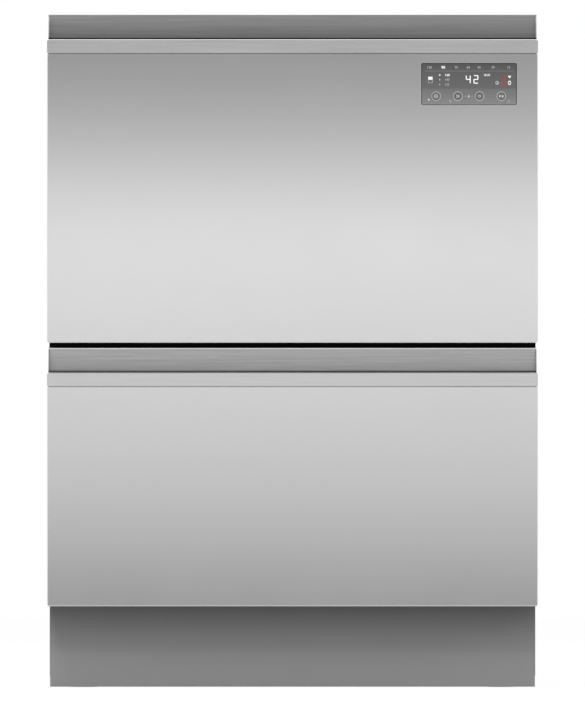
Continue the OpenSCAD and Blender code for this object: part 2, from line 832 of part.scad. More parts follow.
module tub(top, tub_h) {
    z1 = rim_z(top);
    zf = floor_z(top, tub_h);
    color("gainsboro") {
        difference() {
            union() {
                translate([0, 0, zf - tub_wall]) linear_extrude(tub_h + tub_wall)
                    round_rect([-tub_x, tub_y0], [tub_x, tub_y1], tub_r);
                translate([0, 0, z1 - rim_t]) linear_extrude(rim_t)
                    round_rect([-rim_x, tub_y0], [rim_x, tub_y1 + 1], tub_r);
                rod_z([0, tub_my, zf - sump_d - tub_wall], sump_d + 1, sump_r + tub_wall);
                rod_z([link_x, link_b_y, link_z(top, tub_h)], link_drop + link_h + 1, link_pin_r + 4);
                for (y = [tub_y0 + 70, tub_my, tub_y1 - 60])
                    both_sides() slab([tub_x - 30, y - 2, zf - tub_wall - 5], [tub_x - 1, y + 2, zf - 1]);
            }
            difference() {
                tub_space(zf, tub_h + 1, tub_wall);
                // the rim also stands inwards, and upright ribs stiffen the side walls
                difference() {
                    tub_space(z1 - rim_t, rim_t, 0);
                    translate([0, 0, z1 - rim_t - 1]) linear_extrude(rim_t + 2)
                        round_rect([-rim_x + rim_w, tub_y0 + rim_w], [rim_x - rim_w, tub_y1 + 1 - rim_w],
                                   tub_r - rim_w);
                }
                for (n = [-1.5:1.5])
                    both_sides()
                        rod_z([tub_x - tub_wall + 1, tub_my + n * rib_pitch, zf + 20], tub_h - 40, rib_r);
            }
            rod_z([0, tub_my, zf - sump_d], sump_d + 1, sump_r);
        }
        // the pillar and the spigot that the spray arm turns on
        rod_z([0, tub_my, zf - sump_d - 1], sump_d + 1 + spray_z - seat, pillar_r);
        rod_z([0, tub_my, zf], spray_z + spray_t + 4, spigot_r);
    }
}
rib_pitch = 100;
rib_r = 5;

module wash_motor(top, tub_h) {
    z1 = floor_z(top, tub_h) - sump_d - tub_wall;
    pump_x = -motor_r - 14;
    pump_z = z1 - pump_r - 1;
    color("black") {
        rod_z([0, tub_my, z1 - motor_rim_h], motor_rim_h, motor_r + 8);
        rod_z([0, tub_my, z1 - motor_h], motor_h, motor_r);
        for (n = [0:11])
            translate([0, tub_my, z1 - motor_h + 4]) rotate([0, 0, n * 30])
                slab([motor_r - 2, -sheet, 0], [motor_r + 4, sheet, motor_h - 8]);
        slab([motor_r - 8, tub_my - heater_w / 2, z1 - motor_h + 2],
             [motor_r + 26, tub_my + heater_w / 2, z1]);
        // the drain pump and its outlet
        rod_y([pump_x, tub_my - 30, pump_z], pump_l, pump_r);
        slab([pump_x, tub_my - 8, pump_z - 6], [-motor_r + 6, tub_my + 8, pump_z + 8]);
        rod_y([pump_x, tub_my - 32 + pump_l, pump_z], pump_outlet_l, pump_outlet_r);
    }
}

module filter_plate(top, tub_h) {
    zf = floor_z(top, tub_h);
    color("slategray") difference() {
        union() {
            rod_z([0, tub_my, zf + 0.1], filter_t, sump_r + filter_lap);
            // the round filter cup, with the tab that turns it
            rod_z([filter_cup_x, tub_my, zf - sump_d + 1], sump_d, filter_cup_r);
            slab([filter_cup_x - 14, tub_my - 2, zf], [filter_cup_x + 14, tub_my + 2, zf + filter_t + 5]);
        }
        rod_z([0, tub_my, zf - sump_d], 2 * sump_d, pillar_r + 1);
        for (ring = filter_rings, n = [0:ring[1] - 1])
            translate([0, tub_my, zf - 1]) rotate([0, 0, (n + 0.5) * 360 / ring[1]])
                translate([ring[0], 0, 0]) cylinder(h = filter_t + 3, r = filter_hole_r);
    }
}
motor_rim_h = 6;
heater_w = 44;
pump_r = 11;
pump_l = 70;
pump_outlet_r = 7;
pump_outlet_l = 26;
filter_cup_x = 62;
filter_cup_r = 22;
filter_hole_r = 3.2;
filter_rings = [[sump_r - 57, 12], [sump_r - 11, 30]];     // radius and number of each ring of holes

module spray_arm(top, tub_h) {
    z0 = floor_z(top, tub_h) + spray_z;
    color("lightgray") translate([0, tub_my, z0]) difference() {
        union() {
            cylinder(h = spray_t + 6, r = spray_hub_r);
            linear_extrude(spray_t) for (a = [0, 180]) rotate(a) {
                polygon([[0, -spray_w / 2], [spray_r - 15, -spray_w / 2 + 8],
                         [spray_r - 15, spray_w / 2 - 14], [0, spray_w / 2]]);
                translate([spray_r - 15, -3]) circle(spray_w / 2 - 11);
            }
        }
        translate([0, 0, -1]) cylinder(h = spray_t + 9, r = spigot_r + spin_gap);
        for (a = [0, 180], n = [0:4])
            rotate([0, 0, a]) translate([spray_r - 22 - n * jet_pitch, -2, spray_t - 3])
                cylinder(h = 5, r = jet_r);
    }
}
jet_pitch = 35;
jet_r = 2.2;

// ---- Lids ----

// A lid: a plate with a wall round it, a grid of ribs and a pin for each lifter
module lid(top) {
    z0 = top - lid_gap - lid_h;
    wall = 4;
    color("whitesmoke") {
        translate([0, 0, z0]) difference() {
            linear_extrude(lid_h) round_rect([-lid_x, lid_y0], [lid_x, lid_y1], tub_r - 6);
            translate([0, 0, lid_t]) linear_extrude(lid_h)
                round_rect([-lid_x + wall, lid_y0 + wall], [lid_x - wall, lid_y1 - wall], tub_r - 6 - wall);
        }
        for (n = [-3:3])
            slab([n * lid_rib_pitch - 1, lid_y0 + 1, z0 + 1],
                 [n * lid_rib_pitch + 1, lid_y1 - 1, z0 + lid_h - 2]);
        for (n = [-2:2])
            slab([-lid_x + 1, lid_my + n * lifter_y / 2 - 1.2, z0 + 1],
                 [lid_x - 1, lid_my + n * lifter_y / 2 + 1.2, z0 + lid_h - 2]);
        for (y = [lid_my - lifter_y, lid_my + lifter_y])
            both_sides() rod_x([lid_x - 3, y, z0 + lid_h / 2], 3 + pin_l, pin_r);
    }
}
lid_rib_pitch = 70;

module lid_seal(top) {
    z1 = top - lid_gap - lid_h;
    color("dimgray") translate([0, 0, z1 - seal_h]) linear_extrude(seal_h) difference() {
        round_rect([-lid_x + 0.5, lid_y0 + 0.5], [lid_x - 0.5, lid_y1 - 0.5], tub_r - 6.5);
        round_rect([-lid_x + 0.5 + seal_w, lid_y0 + 0.5 + seal_w],
                   [lid_x - 0.5 - seal_w, lid_y1 - 0.5 - seal_w], tub_r - 6.5 - seal_w);
    }
}

module lid_lifters() {
    color("whitesmoke") both_sides()
    for (top = [upper_top, lower_top], y = [lid_my - lifter_y, lid_my + lifter_y]) {
        pin_z = top - lid_gap - lid_h / 2;
        z1 = top - lid_gap - 1;
        difference() {
            slab([lifter_x, y - lifter_l / 2, z1 - lifter_h], [side_in, y + lifter_l / 2, z1]);
            slab([lifter_x - 1, y - pin_r - seat, pin_z - pin_r - lid_travel - seat],
                 [lid_x + pin_l + 1, y + pin_r + seat, pin_z + pin_r + seat]);
            slab([lifter_x - 1, y - lifter_l / 2 - 1, z1 - lifter_h - 1],
                 [lifter_x + 3, y + lifter_l / 2 + 1, z1 - 34]);
        }
    }
}

// ---- Racks ----

// The floor of a rack: long wires welded on top of cross wires
module rack_floor() {
    nx = floor((rack_w / 2 - 14) / wire_pitch);
    ny = floor((rack_d / 2 - 10) / (2 * wire_pitch));
    for (n = [-nx:nx])
        rod_y([n * wire_pitch, rack_y0 + 1, floor_wire_z], rack_d - 2, wire_r);
    for (n = [-ny:ny])
        rod_x([-rack_x + 1, tub_my + n * 2 * wire_pitch, rack_up], rack_w - 2, wire_r);
    for (y = [rack_y0 + 3, rack_y1 - 3])
        rod_x([-rack_x + 1, y, rack_up], rack_w - 2, rim_wire_r);
}

// One wall of a rack, standing at z0: rim wires along it and upright wires welded on its inside
module rack_wall(l, z0) {
    n = floor((l / 2 - 12) / wire_pitch - 0.5);
    for (z = [z0 + rim_wire_r, rack_up + rack_h / 2, rack_up + rack_h])
        rod_x([-l / 2, 0, z], l, rim_wire_r);
    for (k = [-n - 0.5:n + 0.5])
        rod_z([k * wire_pitch, rim_wire_r + wire_r - weld, z0 + 1], rack_up + rack_h - z0, wire_r);
}

// A straight row of plate tines on its own rod
module tine_row(x) {
    n = floor((row_l / 2 - 8) / wire_pitch);
    rod_y([x, tub_my - row_l / 2, tine_z], row_l, rim_wire_r);
    for (k = [-n:n]) {
        rod_z([x, tub_my + k * wire_pitch, tine_z], tine_h, wire_r);
        translate([x, tub_my + k * wire_pitch, tine_z + tine_h]) sphere(wire_r + 0.4);
    }
}

module rack(top, tub_h, shelf_up) {
    color("lightslategray") translate([0, 0, floor_z(top, tub_h)]) {
        rack_floor();
        both_sides() translate([rack_x - rim_wire_r, tub_my, 0]) rotate([0, 0, 90])
            rack_wall(rack_d, rack_up + rim_wire_r + joint_line);
        for (side = [0, 180])
            translate([0, tub_my, 0]) rotate([0, 0, side]) translate([0, -rack_d / 2 + rim_wire_r, 0])
                rack_wall(rack_w - 4 * rim_wire_r - 2 * joint_line, floor_wire_z + wire_r + joint_line);
        // feet under the corners of the floor grid
        for (x = [-rack_x + 24, rack_x - 24], y = [rack_y0 + 3, rack_y1 - 3])
            rod_z([x, y, seat], rack_up + 1 - seat, rim_wire_r + 1.5);
        for (x = row_xs)
            tine_row(x);
        // clips on the floor grid that hold the folding row
        for (y = clip_ys)
            difference() {
                slab([fold_x - 4, y - clip_w / 2, floor_wire_z + wire_r + joint_line],
                     [fold_x + 4, y + clip_w / 2, tine_z + rim_wire_r + 2]);
                rod_y([fold_x, rack_y0, tine_z], rack_d, rim_wire_r + spin_gap);
            }
        // posts on the left wall that carry the cup shelf
        for (y = post_ys)
            difference() {
                slab([-rack_x - 3, y - clip_w / 2, rack_up + rack_h + rim_wire_r + joint_line],
                     [shelf_x + 5, y + clip_w / 2, rack_up + shelf_up + rim_wire_r + post_top]);
                rod_y([shelf_x, y - 20, rack_up + shelf_up], 40, rim_wire_r + spin_gap);
            }
    }
}
shelf_x = -rack_x + 2;

module folding_tines(top, tub_h) {
    color("lightslategray") translate([0, 0, floor_z(top, tub_h)]) tine_row(fold_x);
}

module cup_shelf(top, tub_h, shelf_up) {
    z = floor_z(top, tub_h) + rack_up + shelf_up;
    n = floor((shelf_l / 2 - 5) / wire_pitch);
    color("lightslategray") {
        for (x = [0, shelf_w / 2, shelf_w])
            rod_y([shelf_x + x, tub_my - shelf_l / 2, z], shelf_l, rim_wire_r);
        for (k = [-n:n])
            rod_x([shelf_x - 4, tub_my + k * wire_pitch, z + rim_wire_r + wire_r - weld],
                  shelf_w + 8, wire_r);
    }
}

// One row of a cutlery basket's compartments, from x0 outwards
module basket_row(x0) {
    cell_l = (basket_l - basket_t) / basket_cells - basket_t;
    difference() {
        slab([x0, -basket_l / 2, 0], [basket_w / 2, basket_l / 2, basket_h]);
        for (n = [0:basket_cells - 1]) {
            y = -basket_l / 2 + basket_t + n * (cell_l + basket_t);
            slab([x0 + basket_t, y, basket_t], [basket_w / 2 - basket_t, y + cell_l, basket_h + 1]);
            for (k = [0.5:slot_n - 0.5])
                slab([basket_w / 2 - basket_t - 1, y + k * cell_l / slot_n - slot_w / 2, basket_h / 4],
                     [basket_w / 2 + 1, y + k * cell_l / slot_n + slot_w / 2, basket_h * 3 / 4]);
        }
    }
}

// A cutlery basket: a row of compartments on each side of a plate that ends in the handle
module cutlery_basket(top, tub_h) {
    color("dimgray") translate([basket_x, tub_my, floor_z(top, tub_h) + basket_z]) {
        both_sides() basket_row(grip_t / 2 + joint_line);
        difference() {
            slab([-grip_t / 2, -grip_l / 2 - 8, 0], [grip_t / 2, grip_l / 2 + 8, basket_h + handle_up]);
            slab([-grip_t, -grip_l / 2, basket_h + 6], [grip_t, grip_l / 2, basket_h + handle_up - 7]);
        }
    }
}
grip_l = 90;
grip_t = 3;
slot_w = 3.4;
slot_n = 5;                 // slots along each compartment

// ---- Detergent dispensers ----

module dispenser(top) {
    y0 = tub_y0 + tub_wall;
    y1 = y0 + dispenser_d;
    z1 = rim_z(top) - dispenser_drop;
    z0 = z1 - dispenser_h;
    hinge_z = z0 + 8;
    color("lightgray") {
        difference() {
            union() {
                slab([dispenser_x - dispenser_w / 2, y0, z0], [dispenser_x + dispenser_w / 2, y1, z1]);
                for (s = [-1, 1])
                    slab([cup_x + s * (cup_w / 2 + 3) - 2, y1 - 1, hinge_z - 3],
                         [cup_x + s * (cup_w / 2 + 3) + 2, y1 + hinge_r + 2, hinge_z + 3]);
            }
            slab([cup_x - cup_w / 2, y1 - 14, hinge_z + 4],
                 [cup_x + cup_w / 2, y1 + 1, hinge_z + 4 + cup_h]);
            rod_y([cap_x, y1 - 6, (z0 + z1) / 2], 7, cap_r + 1);
            slab([cup_x - cup_w / 2 - 0.8, y1 - 0.6, hinge_z - hinge_r - 0.4],
                 [cup_x + cup_w / 2 + 0.8, y1 + 5, hinge_z + hinge_r + 0.4]);
        }
        rod_x([cup_x - cup_w / 2 - 3, y1 + hinge_r - 0.2, hinge_z], 8, 1.2);
        rod_x([cup_x + cup_w / 2 - 5, y1 + hinge_r - 0.2, hinge_z], 8, 1.2);
        // the rinse aid cap
        rod_y([cap_x, y1 - 5.9, (z0 + z1) / 2], 8, cap_r);
        slab([cap_x - cap_r + 2, y1, (z0 + z1) / 2 - 2], [cap_x + cap_r - 2, y1 + 7, (z0 + z1) / 2 + 2]);
    }
}

module detergent_door(top) {
    y1 = tub_y0 + tub_wall + dispenser_d;
    hinge_z = rim_z(top) - dispenser_drop - dispenser_h + 8;
    color("slategray") difference() {
        union() {
            slab([cup_x - cup_w / 2 + 0.3, y1 + seat, hinge_z],
                 [cup_x + cup_w / 2 - 0.3, y1 + seat + 2.6, hinge_z + cup_h + 9]);
            rod_x([cup_x - cup_w / 2 + 0.3, y1 + hinge_r - 0.2, hinge_z], cup_w - 0.6, hinge_r);
            slab([cup_x - 12, y1 + seat, hinge_z + cup_h + 4], [cup_x + 12, y1 + 6, hinge_z + cup_h + 9]);
        }
        rod_x([cup_x - cup_w, y1 + hinge_r - 0.2, hinge_z], cup_w * 2, 1.2 + spin_gap);
    }
}

// ---- Link arms that carry the hoses between the cabinet and a tub ----

// A link arm from the origin along +X, with a pivot hole at each end that has a radius above 0
module link_arm(hole0, hole1) {
    difference() {
        union() {
            for (x = [0, link_l])
                translate([x, 0, 0]) cylinder(h = link_h, r = link_w / 2 + 2);
            slab([0, -link_w / 2, 0], [link_l, link_w / 2, link_h]);
        }
        slab([link_w, -link_w / 2 + 2, 2], [link_l - link_w, link_w / 2 - 2, link_h + 1]);
        if (hole0 > 0)
            translate([0, 0, -1]) cylinder(h = link_h + 2, r = hole0);
        if (hole1 > 0)
            translate([link_l, 0, -1]) cylinder(h = link_h + 2, r = hole1);
    }
    // the supply hose and the drain hose lie in the arm's channel
    for (y = [-link_w / 5, link_w / 5])
        rod_x([link_w + 2, y, 1.8 + hose_r], link_l - 2 * link_w - 4, hose_r);
}
hose_r = 3;

module rear_link(top, tub_h) {
    color("darkgray") translate([link_x, link_a_y, link_z(top, tub_h)])
        rotate([0, 0, -90 - link_rest]) link_arm(link_pin_r + spin_gap, link_pin_r + spin_gap);
}

module front_link(top, tub_h) {
    knee = [link_x - link_l * sin(link_rest), link_a_y - link_l * cos(link_rest)];
    color("darkgray") translate([knee.x, knee.y, link_z(top, tub_h) - link_h - link_gap])
        rotate([0, 0, -90 + link_rest]) {
            link_arm(0, 0);
            translate([0, 0, link_h - 1]) cylinder(h = link_h + 1, r = link_pin_r);
        }
}
link_gap = 0.4;

// ---- Services ----

module inlet_valve() {
    y0 = tray_y1 + service_plate;
    color("white") {
        slab([valve_x - valve_w / 2, tray_y1, service_z - plate_drop],
             [valve_x + valve_w / 2, y0, service_z + plate_rise]);
        slab([valve_x - 0.35 * valve_w, tray_y1 - valve_d, tray_top + 1],
             [valve_x + 0.35 * valve_w, y0 - 1, service_z + plate_rise - 2]);
        rod_y([valve_x, y0 - 1, service_z], back_y - inlet_l - y0 + 2, inlet_r - 3);
        rod_y([valve_x, back_y - inlet_l - 4, service_z], 3, inlet_r + 3);
        rod_y([valve_x, back_y - inlet_l - 2, service_z], inlet_l, inlet_r);
        rod_z([valve_x, tray_y1 - 0.6 * valve_d, service_z], coil_h, coil_r);
    }
}

module drain_outlet() {
    y0 = tray_y1 + service_plate;
    color("black") {
        slab([drain_x - drain_plate_w / 2, tray_y1, service_z - plate_drop],
             [drain_x + drain_plate_w / 2, y0, service_z + plate_rise]);
        difference() {
            union() {
                rod_y([drain_x, y0 - 1, service_z], 7, drain_r + 3);
                rod_y([drain_x, y0 - 1, service_z], drain_l + 1, drain_r);
            }
            rod_y([drain_x, y0, service_z], drain_l + 1, drain_r - 2.5);
        }
    }
}

module power_module() {
    y0 = tray_y1 + service_plate;
    box_z = base_z + tray_rib_h + joint_line;
    power_y1 = tray_y1 - tray_wall - seat;
    color("black") {
        slab([gland_x - 0.6 * power_w, power_y1 - power_d, box_z],
             [gland_x + 0.4 * power_w, power_y1, tray_top - 2]);
        slab([gland_x - gland_plate_w / 2, power_y1 - power_d / 2, tray_top - 3],
             [gland_x + gland_plate_w / 2, power_y1, service_z + plate_rise]);
        difference() {
            union() {
                slab([gland_x - gland_plate_w / 2, tray_y1 - 4, tray_top + 1],
                     [gland_x + gland_plate_w / 2, y0, service_z + plate_rise]);
                rod_y([gland_x, y0 - 1, service_z], gland_l + 1, gland_r + 4);
                rod_y([gland_x, y0 - 1, service_z], 5, gland_r + 6);
            }
            rod_y([gland_x, tray_y1 - 2, service_z], gland_l + 20, gland_r);
        }
    }
}

module screw(l) {
    difference() {
        union() {
            cylinder(h = screw_head_h, r = screw_head_r);
            translate([0, 0, -l]) cylinder(h = l + 0.5, r = screw_r);
        }
        for (a = [0, 90])
            rotate([0, 0, a]) translate([-2.2, -0.45, screw_head_h - 0.8]) cube([4.4, 0.9, 2]);
    }
}

module chassis_screws() {
    color("silver") {
        for (p = back_screws)
            translate([p.x, back_y, p.y]) rotate([-90, 0, 0]) screw(2 * sheet);
        both_sides() for (y = boss_ys, top = [upper_top, lower_top])
            translate([side_x, y, runner_z(top)]) rotate([0, 90, 0]) screw(sheet + boss_h + rail_t);
    }
}

// ---- The nodes ----

left_side_panel();
right_side_panel();
top_panel();
back_panel();
base_tray();
middle_rail();
toe_kick();
levelling_feet();
runner_outer_rails();
lid_lifters();
inlet_valve();
drain_outlet();
power_module();
chassis_screws();

upper_seam = upper_top - band_h - lip_h - seam;
lower_seam = lower_top - band_h - lip_h - seam;
front_panel(upper_bottom, upper_seam);  // upper_front_panel
handle_lip(upper_top);  // upper_handle_lip
handle_recess(upper_top);  // upper_handle_recess
front_frame(upper_top, upper_bottom, true);  // upper_front_frame
tub(upper_top, upper_tub_h);  // upper_tub
runner_inner_rails(upper_top);  // upper_runner_inner_rails
wash_motor(upper_top, upper_tub_h);  // upper_wash_motor
filter_plate(upper_top, upper_tub_h);  // upper_filter_plate
rack(upper_top, upper_tub_h, upper_shelf_up);  // upper_rack
cutlery_basket(upper_top, upper_tub_h);  // upper_cutlery_basket
dispenser(upper_top);  // upper_dispenser
control_window();
control_module();

front_panel(lower_bottom, lower_seam);  // lower_front_panel
handle_lip(lower_top);  // lower_handle_lip
handle_recess(lower_top);  // lower_handle_recess
front_frame(lower_top, lower_bottom, false);  // lower_front_frame
tub(lower_top, lower_tub_h);  // lower_tub
runner_inner_rails(lower_top);  // lower_runner_inner_rails
wash_motor(lower_top, lower_tub_h);  // lower_wash_motor
filter_plate(lower_top, lower_tub_h);  // lower_filter_plate
rack(lower_top, lower_tub_h, lower_shelf_up);  // lower_rack
cutlery_basket(lower_top, lower_tub_h);  // lower_cutlery_basket
dispenser(lower_top);  // lower_dispenser

runner_middle_rails(upper_top);  // upper_runner_middle_rails
runner_middle_rails(lower_top);  // lower_runner_middle_rails
lid(upper_top);  // upper_lid
lid_seal(upper_top);  // upper_lid_seal
lid(lower_top);  // lower_lid
lid_seal(lower_top);  // lower_lid_seal
spray_arm(upper_top, upper_tub_h);  // upper_spray_arm
spray_arm(lower_top, lower_tub_h);  // lower_spray_arm
folding_tines(upper_top, upper_tub_h);  // upper_folding_tines
folding_tines(lower_top, lower_tub_h);  // lower_folding_tines
cup_shelf(upper_top, upper_tub_h, upper_shelf_up);  // upper_cup_shelf
cup_shelf(lower_top, lower_tub_h, lower_shelf_up);  // lower_cup_shelf
detergent_door(upper_top);  // upper_detergent_door
detergent_door(lower_top);  // lower_detergent_door
button(0);  // power_button
button(1);  // program_button
button(2);  // option_button
button(3);  // start_button
rear_link(upper_top, upper_tub_h);  // upper_rear_link
front_link(upper_top, upper_tub_h);  // upper_front_link
rear_link(lower_top, lower_tub_h);  // lower_rear_link
front_link(lower_top, lower_tub_h);  // lower_front_link
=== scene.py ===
import math

import bpy
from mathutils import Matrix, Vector


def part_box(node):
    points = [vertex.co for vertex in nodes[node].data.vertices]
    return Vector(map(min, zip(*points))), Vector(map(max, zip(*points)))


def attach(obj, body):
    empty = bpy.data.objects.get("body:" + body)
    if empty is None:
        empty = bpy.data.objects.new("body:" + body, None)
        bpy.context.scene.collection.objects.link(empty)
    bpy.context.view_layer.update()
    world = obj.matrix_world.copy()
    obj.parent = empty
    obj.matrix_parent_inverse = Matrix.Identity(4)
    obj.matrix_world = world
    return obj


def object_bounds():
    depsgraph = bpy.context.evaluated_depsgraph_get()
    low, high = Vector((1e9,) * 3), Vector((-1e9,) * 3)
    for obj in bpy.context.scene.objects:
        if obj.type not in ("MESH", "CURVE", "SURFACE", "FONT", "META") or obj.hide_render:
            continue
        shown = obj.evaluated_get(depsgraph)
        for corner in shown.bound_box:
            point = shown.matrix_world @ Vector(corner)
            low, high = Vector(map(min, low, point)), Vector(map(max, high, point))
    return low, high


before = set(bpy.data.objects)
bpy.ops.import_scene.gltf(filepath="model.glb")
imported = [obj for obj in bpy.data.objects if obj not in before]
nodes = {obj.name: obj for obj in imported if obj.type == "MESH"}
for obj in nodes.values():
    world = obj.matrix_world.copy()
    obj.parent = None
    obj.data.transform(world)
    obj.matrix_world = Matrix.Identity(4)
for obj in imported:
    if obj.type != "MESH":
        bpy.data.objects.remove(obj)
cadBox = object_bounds()
bpy.ops.object.select_all(action="DESELECT")
mm = 0.001
noiseLow, noiseHigh = 0.3, 0.7      # nearly all of a noise pattern lies between these
drawers = ("upper", "lower")
buttonNames = ("power_button", "program_button", "option_button", "start_button")
print("frame loaded:", len(nodes), "nodes")


# sRGB hex to the linear colour that a shader takes
def linear(hexText):
    parts = [int(hexText[i:i + 2], 16) / 255 for i in (1, 3, 5)]
    return tuple(c / 12.92 if c <= 0.04045 else ((c + 0.055) / 1.055) ** 2.4 for c in parts) + (1,)


def shaded(colour, factor):
    return tuple(min(1, c * factor) for c in colour[:3]) + (1,)


def grey(value):
    return (value, value, value, 1)


# adds a node with its settings, its inputs' values and links, the stops of a colour ramp, and the inputs
# that its outputs lead to
def addNode(tree, kind, values=None, links=None, stops=(), leads=None, **settings):
    made = tree.nodes.new(kind)
    for name, value in settings.items():
        setattr(made, name, value)
    for name, value in (values or {}).items():
        made.inputs[name].default_value = value
    for name, source in (links or {}).items():
        tree.links.new(source, made.inputs[name])
    while stops and len(made.color_ramp.elements) < len(stops):
        made.color_ramp.elements.new(0.5)
    for count, (place, colour) in enumerate(stops):
        made.color_ramp.elements[count].position = place
        made.color_ramp.elements[count].color = linear(colour) if isinstance(colour, str) else colour
    for name, target in (leads or {}).items():
        tree.links.new(made.outputs[name], target)
    return made


def startMaterial(name, colour, roughness, metallic=0.0):
    material = bpy.data.materials.new(name)
    material.use_nodes = True
    shader = material.node_tree.nodes["Principled BSDF"]
    shader.inputs["Base Color"].default_value = linear(colour)
    shader.inputs["Roughness"].default_value = roughness
    shader.inputs["Metallic"].default_value = metallic
    return material, material.node_tree, shader


# the piece's own coordinates in metres, stretched on each axis
def ownPoint(tree, scale=(1, 1, 1)):
    coords = addNode(tree, "ShaderNodeTexCoord")
    stretch = addNode(tree, "ShaderNodeMapping", {"Scale": scale}, {"Vector": coords.outputs["Object"]})
    return stretch.outputs["Vector"]


# one of the piece's own coordinates, in metres
def ownPlace(tree, axis):
    coords = addNode(tree, "ShaderNodeTexCoord")
    return addNode(tree, "ShaderNodeSeparateXYZ", links={"Vector": coords.outputs["Object"]}).outputs[axis]


# the height in the piece's own coordinates, from 0 at low to 1 at high
def heightShare(tree, low, high):
    return addNode(tree, "ShaderNodeMapRange", {"From Min": low, "From Max": high},
                   {"Value": ownPlace(tree, "Z")}).outputs["Result"]


def paint(material, *names):
    for name in names:
        mesh = nodes[name].data
        mesh.materials.clear()
        mesh.materials.append(material)


def bothDrawers(*names):
    return [drawer + "_" + name for drawer in drawers for name in names]


# camera

view = {
    "lens": 1000,               # long, because the photograph is almost a flat elevation
    "sensor": 36,
    "pixel": 599 / 491 * mm,    # one photograph pixel at the front panels
    "rows": 702,
    "floorRow": 688,
    "clipEnd": 400,
}
frontY = cadBox[0][1]
seenHeight = view["rows"] * view["pixel"]
middleZ = (view["floorRow"] - view["rows"] / 2) * view["pixel"]
away = seenHeight * view["lens"] / view["sensor"]
bpy.ops.object.camera_add(location=(0, frontY - away, middleZ), rotation=(math.radians(90), 0, 0))
camera = bpy.context.object
camera.name = "photoCamera"
camera.data.lens = view["lens"]
camera.data.sensor_width = view["sensor"]
camera.data.clip_end = view["clipEnd"]
bpy.context.scene.camera = camera
print("camera ready")


# light, background and floor

light = {
    "around": 0.40,         # level of the soft light from all round
    "floorWide": 12,
    "floorColour": "#F2F2F2",
    "floorRoughness": 0.9,
    "floorGlow": 0.93,      # share of plain white in the floor as the camera sees it
    "floorWhite": 1.03,     # level of that white, so that the floor meets the background without a line
    "cardAway": 0.60,       # how far the graded card stands in front of the panels
    "cardWidth": 1.7,
}
# heights in metres and brightness of the card, which gives the steel its slow gradient
cardLevels = [(-0.30, 0.15), (0.05, 0.24), (0.10, 0.38), (0.16, 0.60), (0.26, 0.78), (0.36, 0.87),
              (0.43, 0.90), (0.50, 1.02), (0.56, 1.10), (0.60, 1.00), (0.64, 0.78), (0.68, 0.62),
              (0.72, 0.49), (0.77, 0.37), (0.82, 0.37), (1.00, 0.42), (1.60, 0.50)]
# each lamp's place, the point that it looks at, its size in metres and its power in watts
lamps = {
    "topSoftbox": ((-0.3, -2.0, 2.3), (0, 0, 0.3), 1.5, 52),
    "rightFill": ((2.4, -0.6, 1.5), (0, 0, 0.4), 1.4, 14),
    "leftFill": ((-2.4, 0.4, 1.5), (0, 0, 0.4), 1.4, 12),
    "backFill": ((-0.8, 2.6, 1.7), (0, 0, 0.4), 1.4, 20),
}


# white to the camera and in reflections, and soft light on the object
def makeWorld():
    world = bpy.data.worlds.new("softStudio")
    bpy.context.scene.world = world
    world.use_nodes = True
    tree = world.node_tree
    background = tree.nodes["Background"]
    background.inputs["Color"].default_value = grey(1)
    path = addNode(tree, "ShaderNodeLightPath")
    seen = path.outputs["Is Camera Ray"]
    for other in ("Is Glossy Ray", "Is Transmission Ray"):
        seen = addNode(tree, "ShaderNodeMath", links={0: seen, 1: path.outputs[other]},
                       operation="MAXIMUM").outputs[0]
    addNode(tree, "ShaderNodeMapRange", {"To Min": light["around"], "To Max": 1.0}, {"Value": seen},
            leads={"Result": background.inputs["Strength"]})


# pale paper floor: white to the camera, with the machine's soft shadow kept
def makeFloor():
    bpy.ops.mesh.primitive_plane_add(size=light["floorWide"], location=(0, 0, -0.5 * mm))
    floor = bpy.context.object
    bpy.ops.object.transform_apply(location=True, rotation=True, scale=True)
    floor.name = "studioFloor"
    material, tree, shader = startMaterial("paperFloor", light["floorColour"], light["floorRoughness"])
    path = addNode(tree, "ShaderNodeLightPath")
    glow = addNode(tree, "ShaderNodeEmission", {"Color": grey(1), "Strength": light["floorWhite"]})
    seen = addNode(tree, "ShaderNodeMath", operation="MAXIMUM",
                   links={0: path.outputs["Is Camera Ray"], 1: path.outputs["Is Glossy Ray"]})
    share = addNode(tree, "ShaderNodeMath", {1: light["floorGlow"]}, {0: seen.outputs[0]},
                    operation="MULTIPLY")
    addNode(tree, "ShaderNodeMixShader",
            links={0: share.outputs[0], 1: shader.outputs["BSDF"], 2: glow.outputs["Emission"]},
            leads={"Shader": tree.nodes["Material Output"].inputs["Surface"]})
    floor.data.materials.append(material)


# a graded studio card in front of the machine, which only its shiny surfaces see
def makeCard():
    low, high = cardLevels[0][0], cardLevels[-1][0]
    bpy.ops.mesh.primitive_plane_add(size=1, location=(0, frontY - light["cardAway"], (low + high) / 2),
                                     rotation=(math.radians(90), 0, 0))
    card = bpy.context.object
    card.scale = (light["cardWidth"], high - low, 1)
    bpy.ops.object.transform_apply(location=True, rotation=True, scale=True)
    card.name = "gradedCard"
    material = bpy.data.materials.new("gradedCard")
    material.use_nodes = True
    tree = material.node_tree
    tree.nodes.clear()
    levels = addNode(tree, "ShaderNodeValToRGB", links={"Fac": heightShare(tree, low, high)},
                     stops=[((z - low) / (high - low), grey(level)) for z, level in cardLevels])
    glow = addNode(tree, "ShaderNodeEmission", {"Strength": 1.0}, {"Color": levels.outputs["Color"]})
    addNode(tree, "ShaderNodeOutputMaterial", links={"Surface": glow.outputs["Emission"]})
    card.data.materials.append(material)
    card.visible_camera = False
    card.visible_diffuse = False
    card.visible_shadow = False


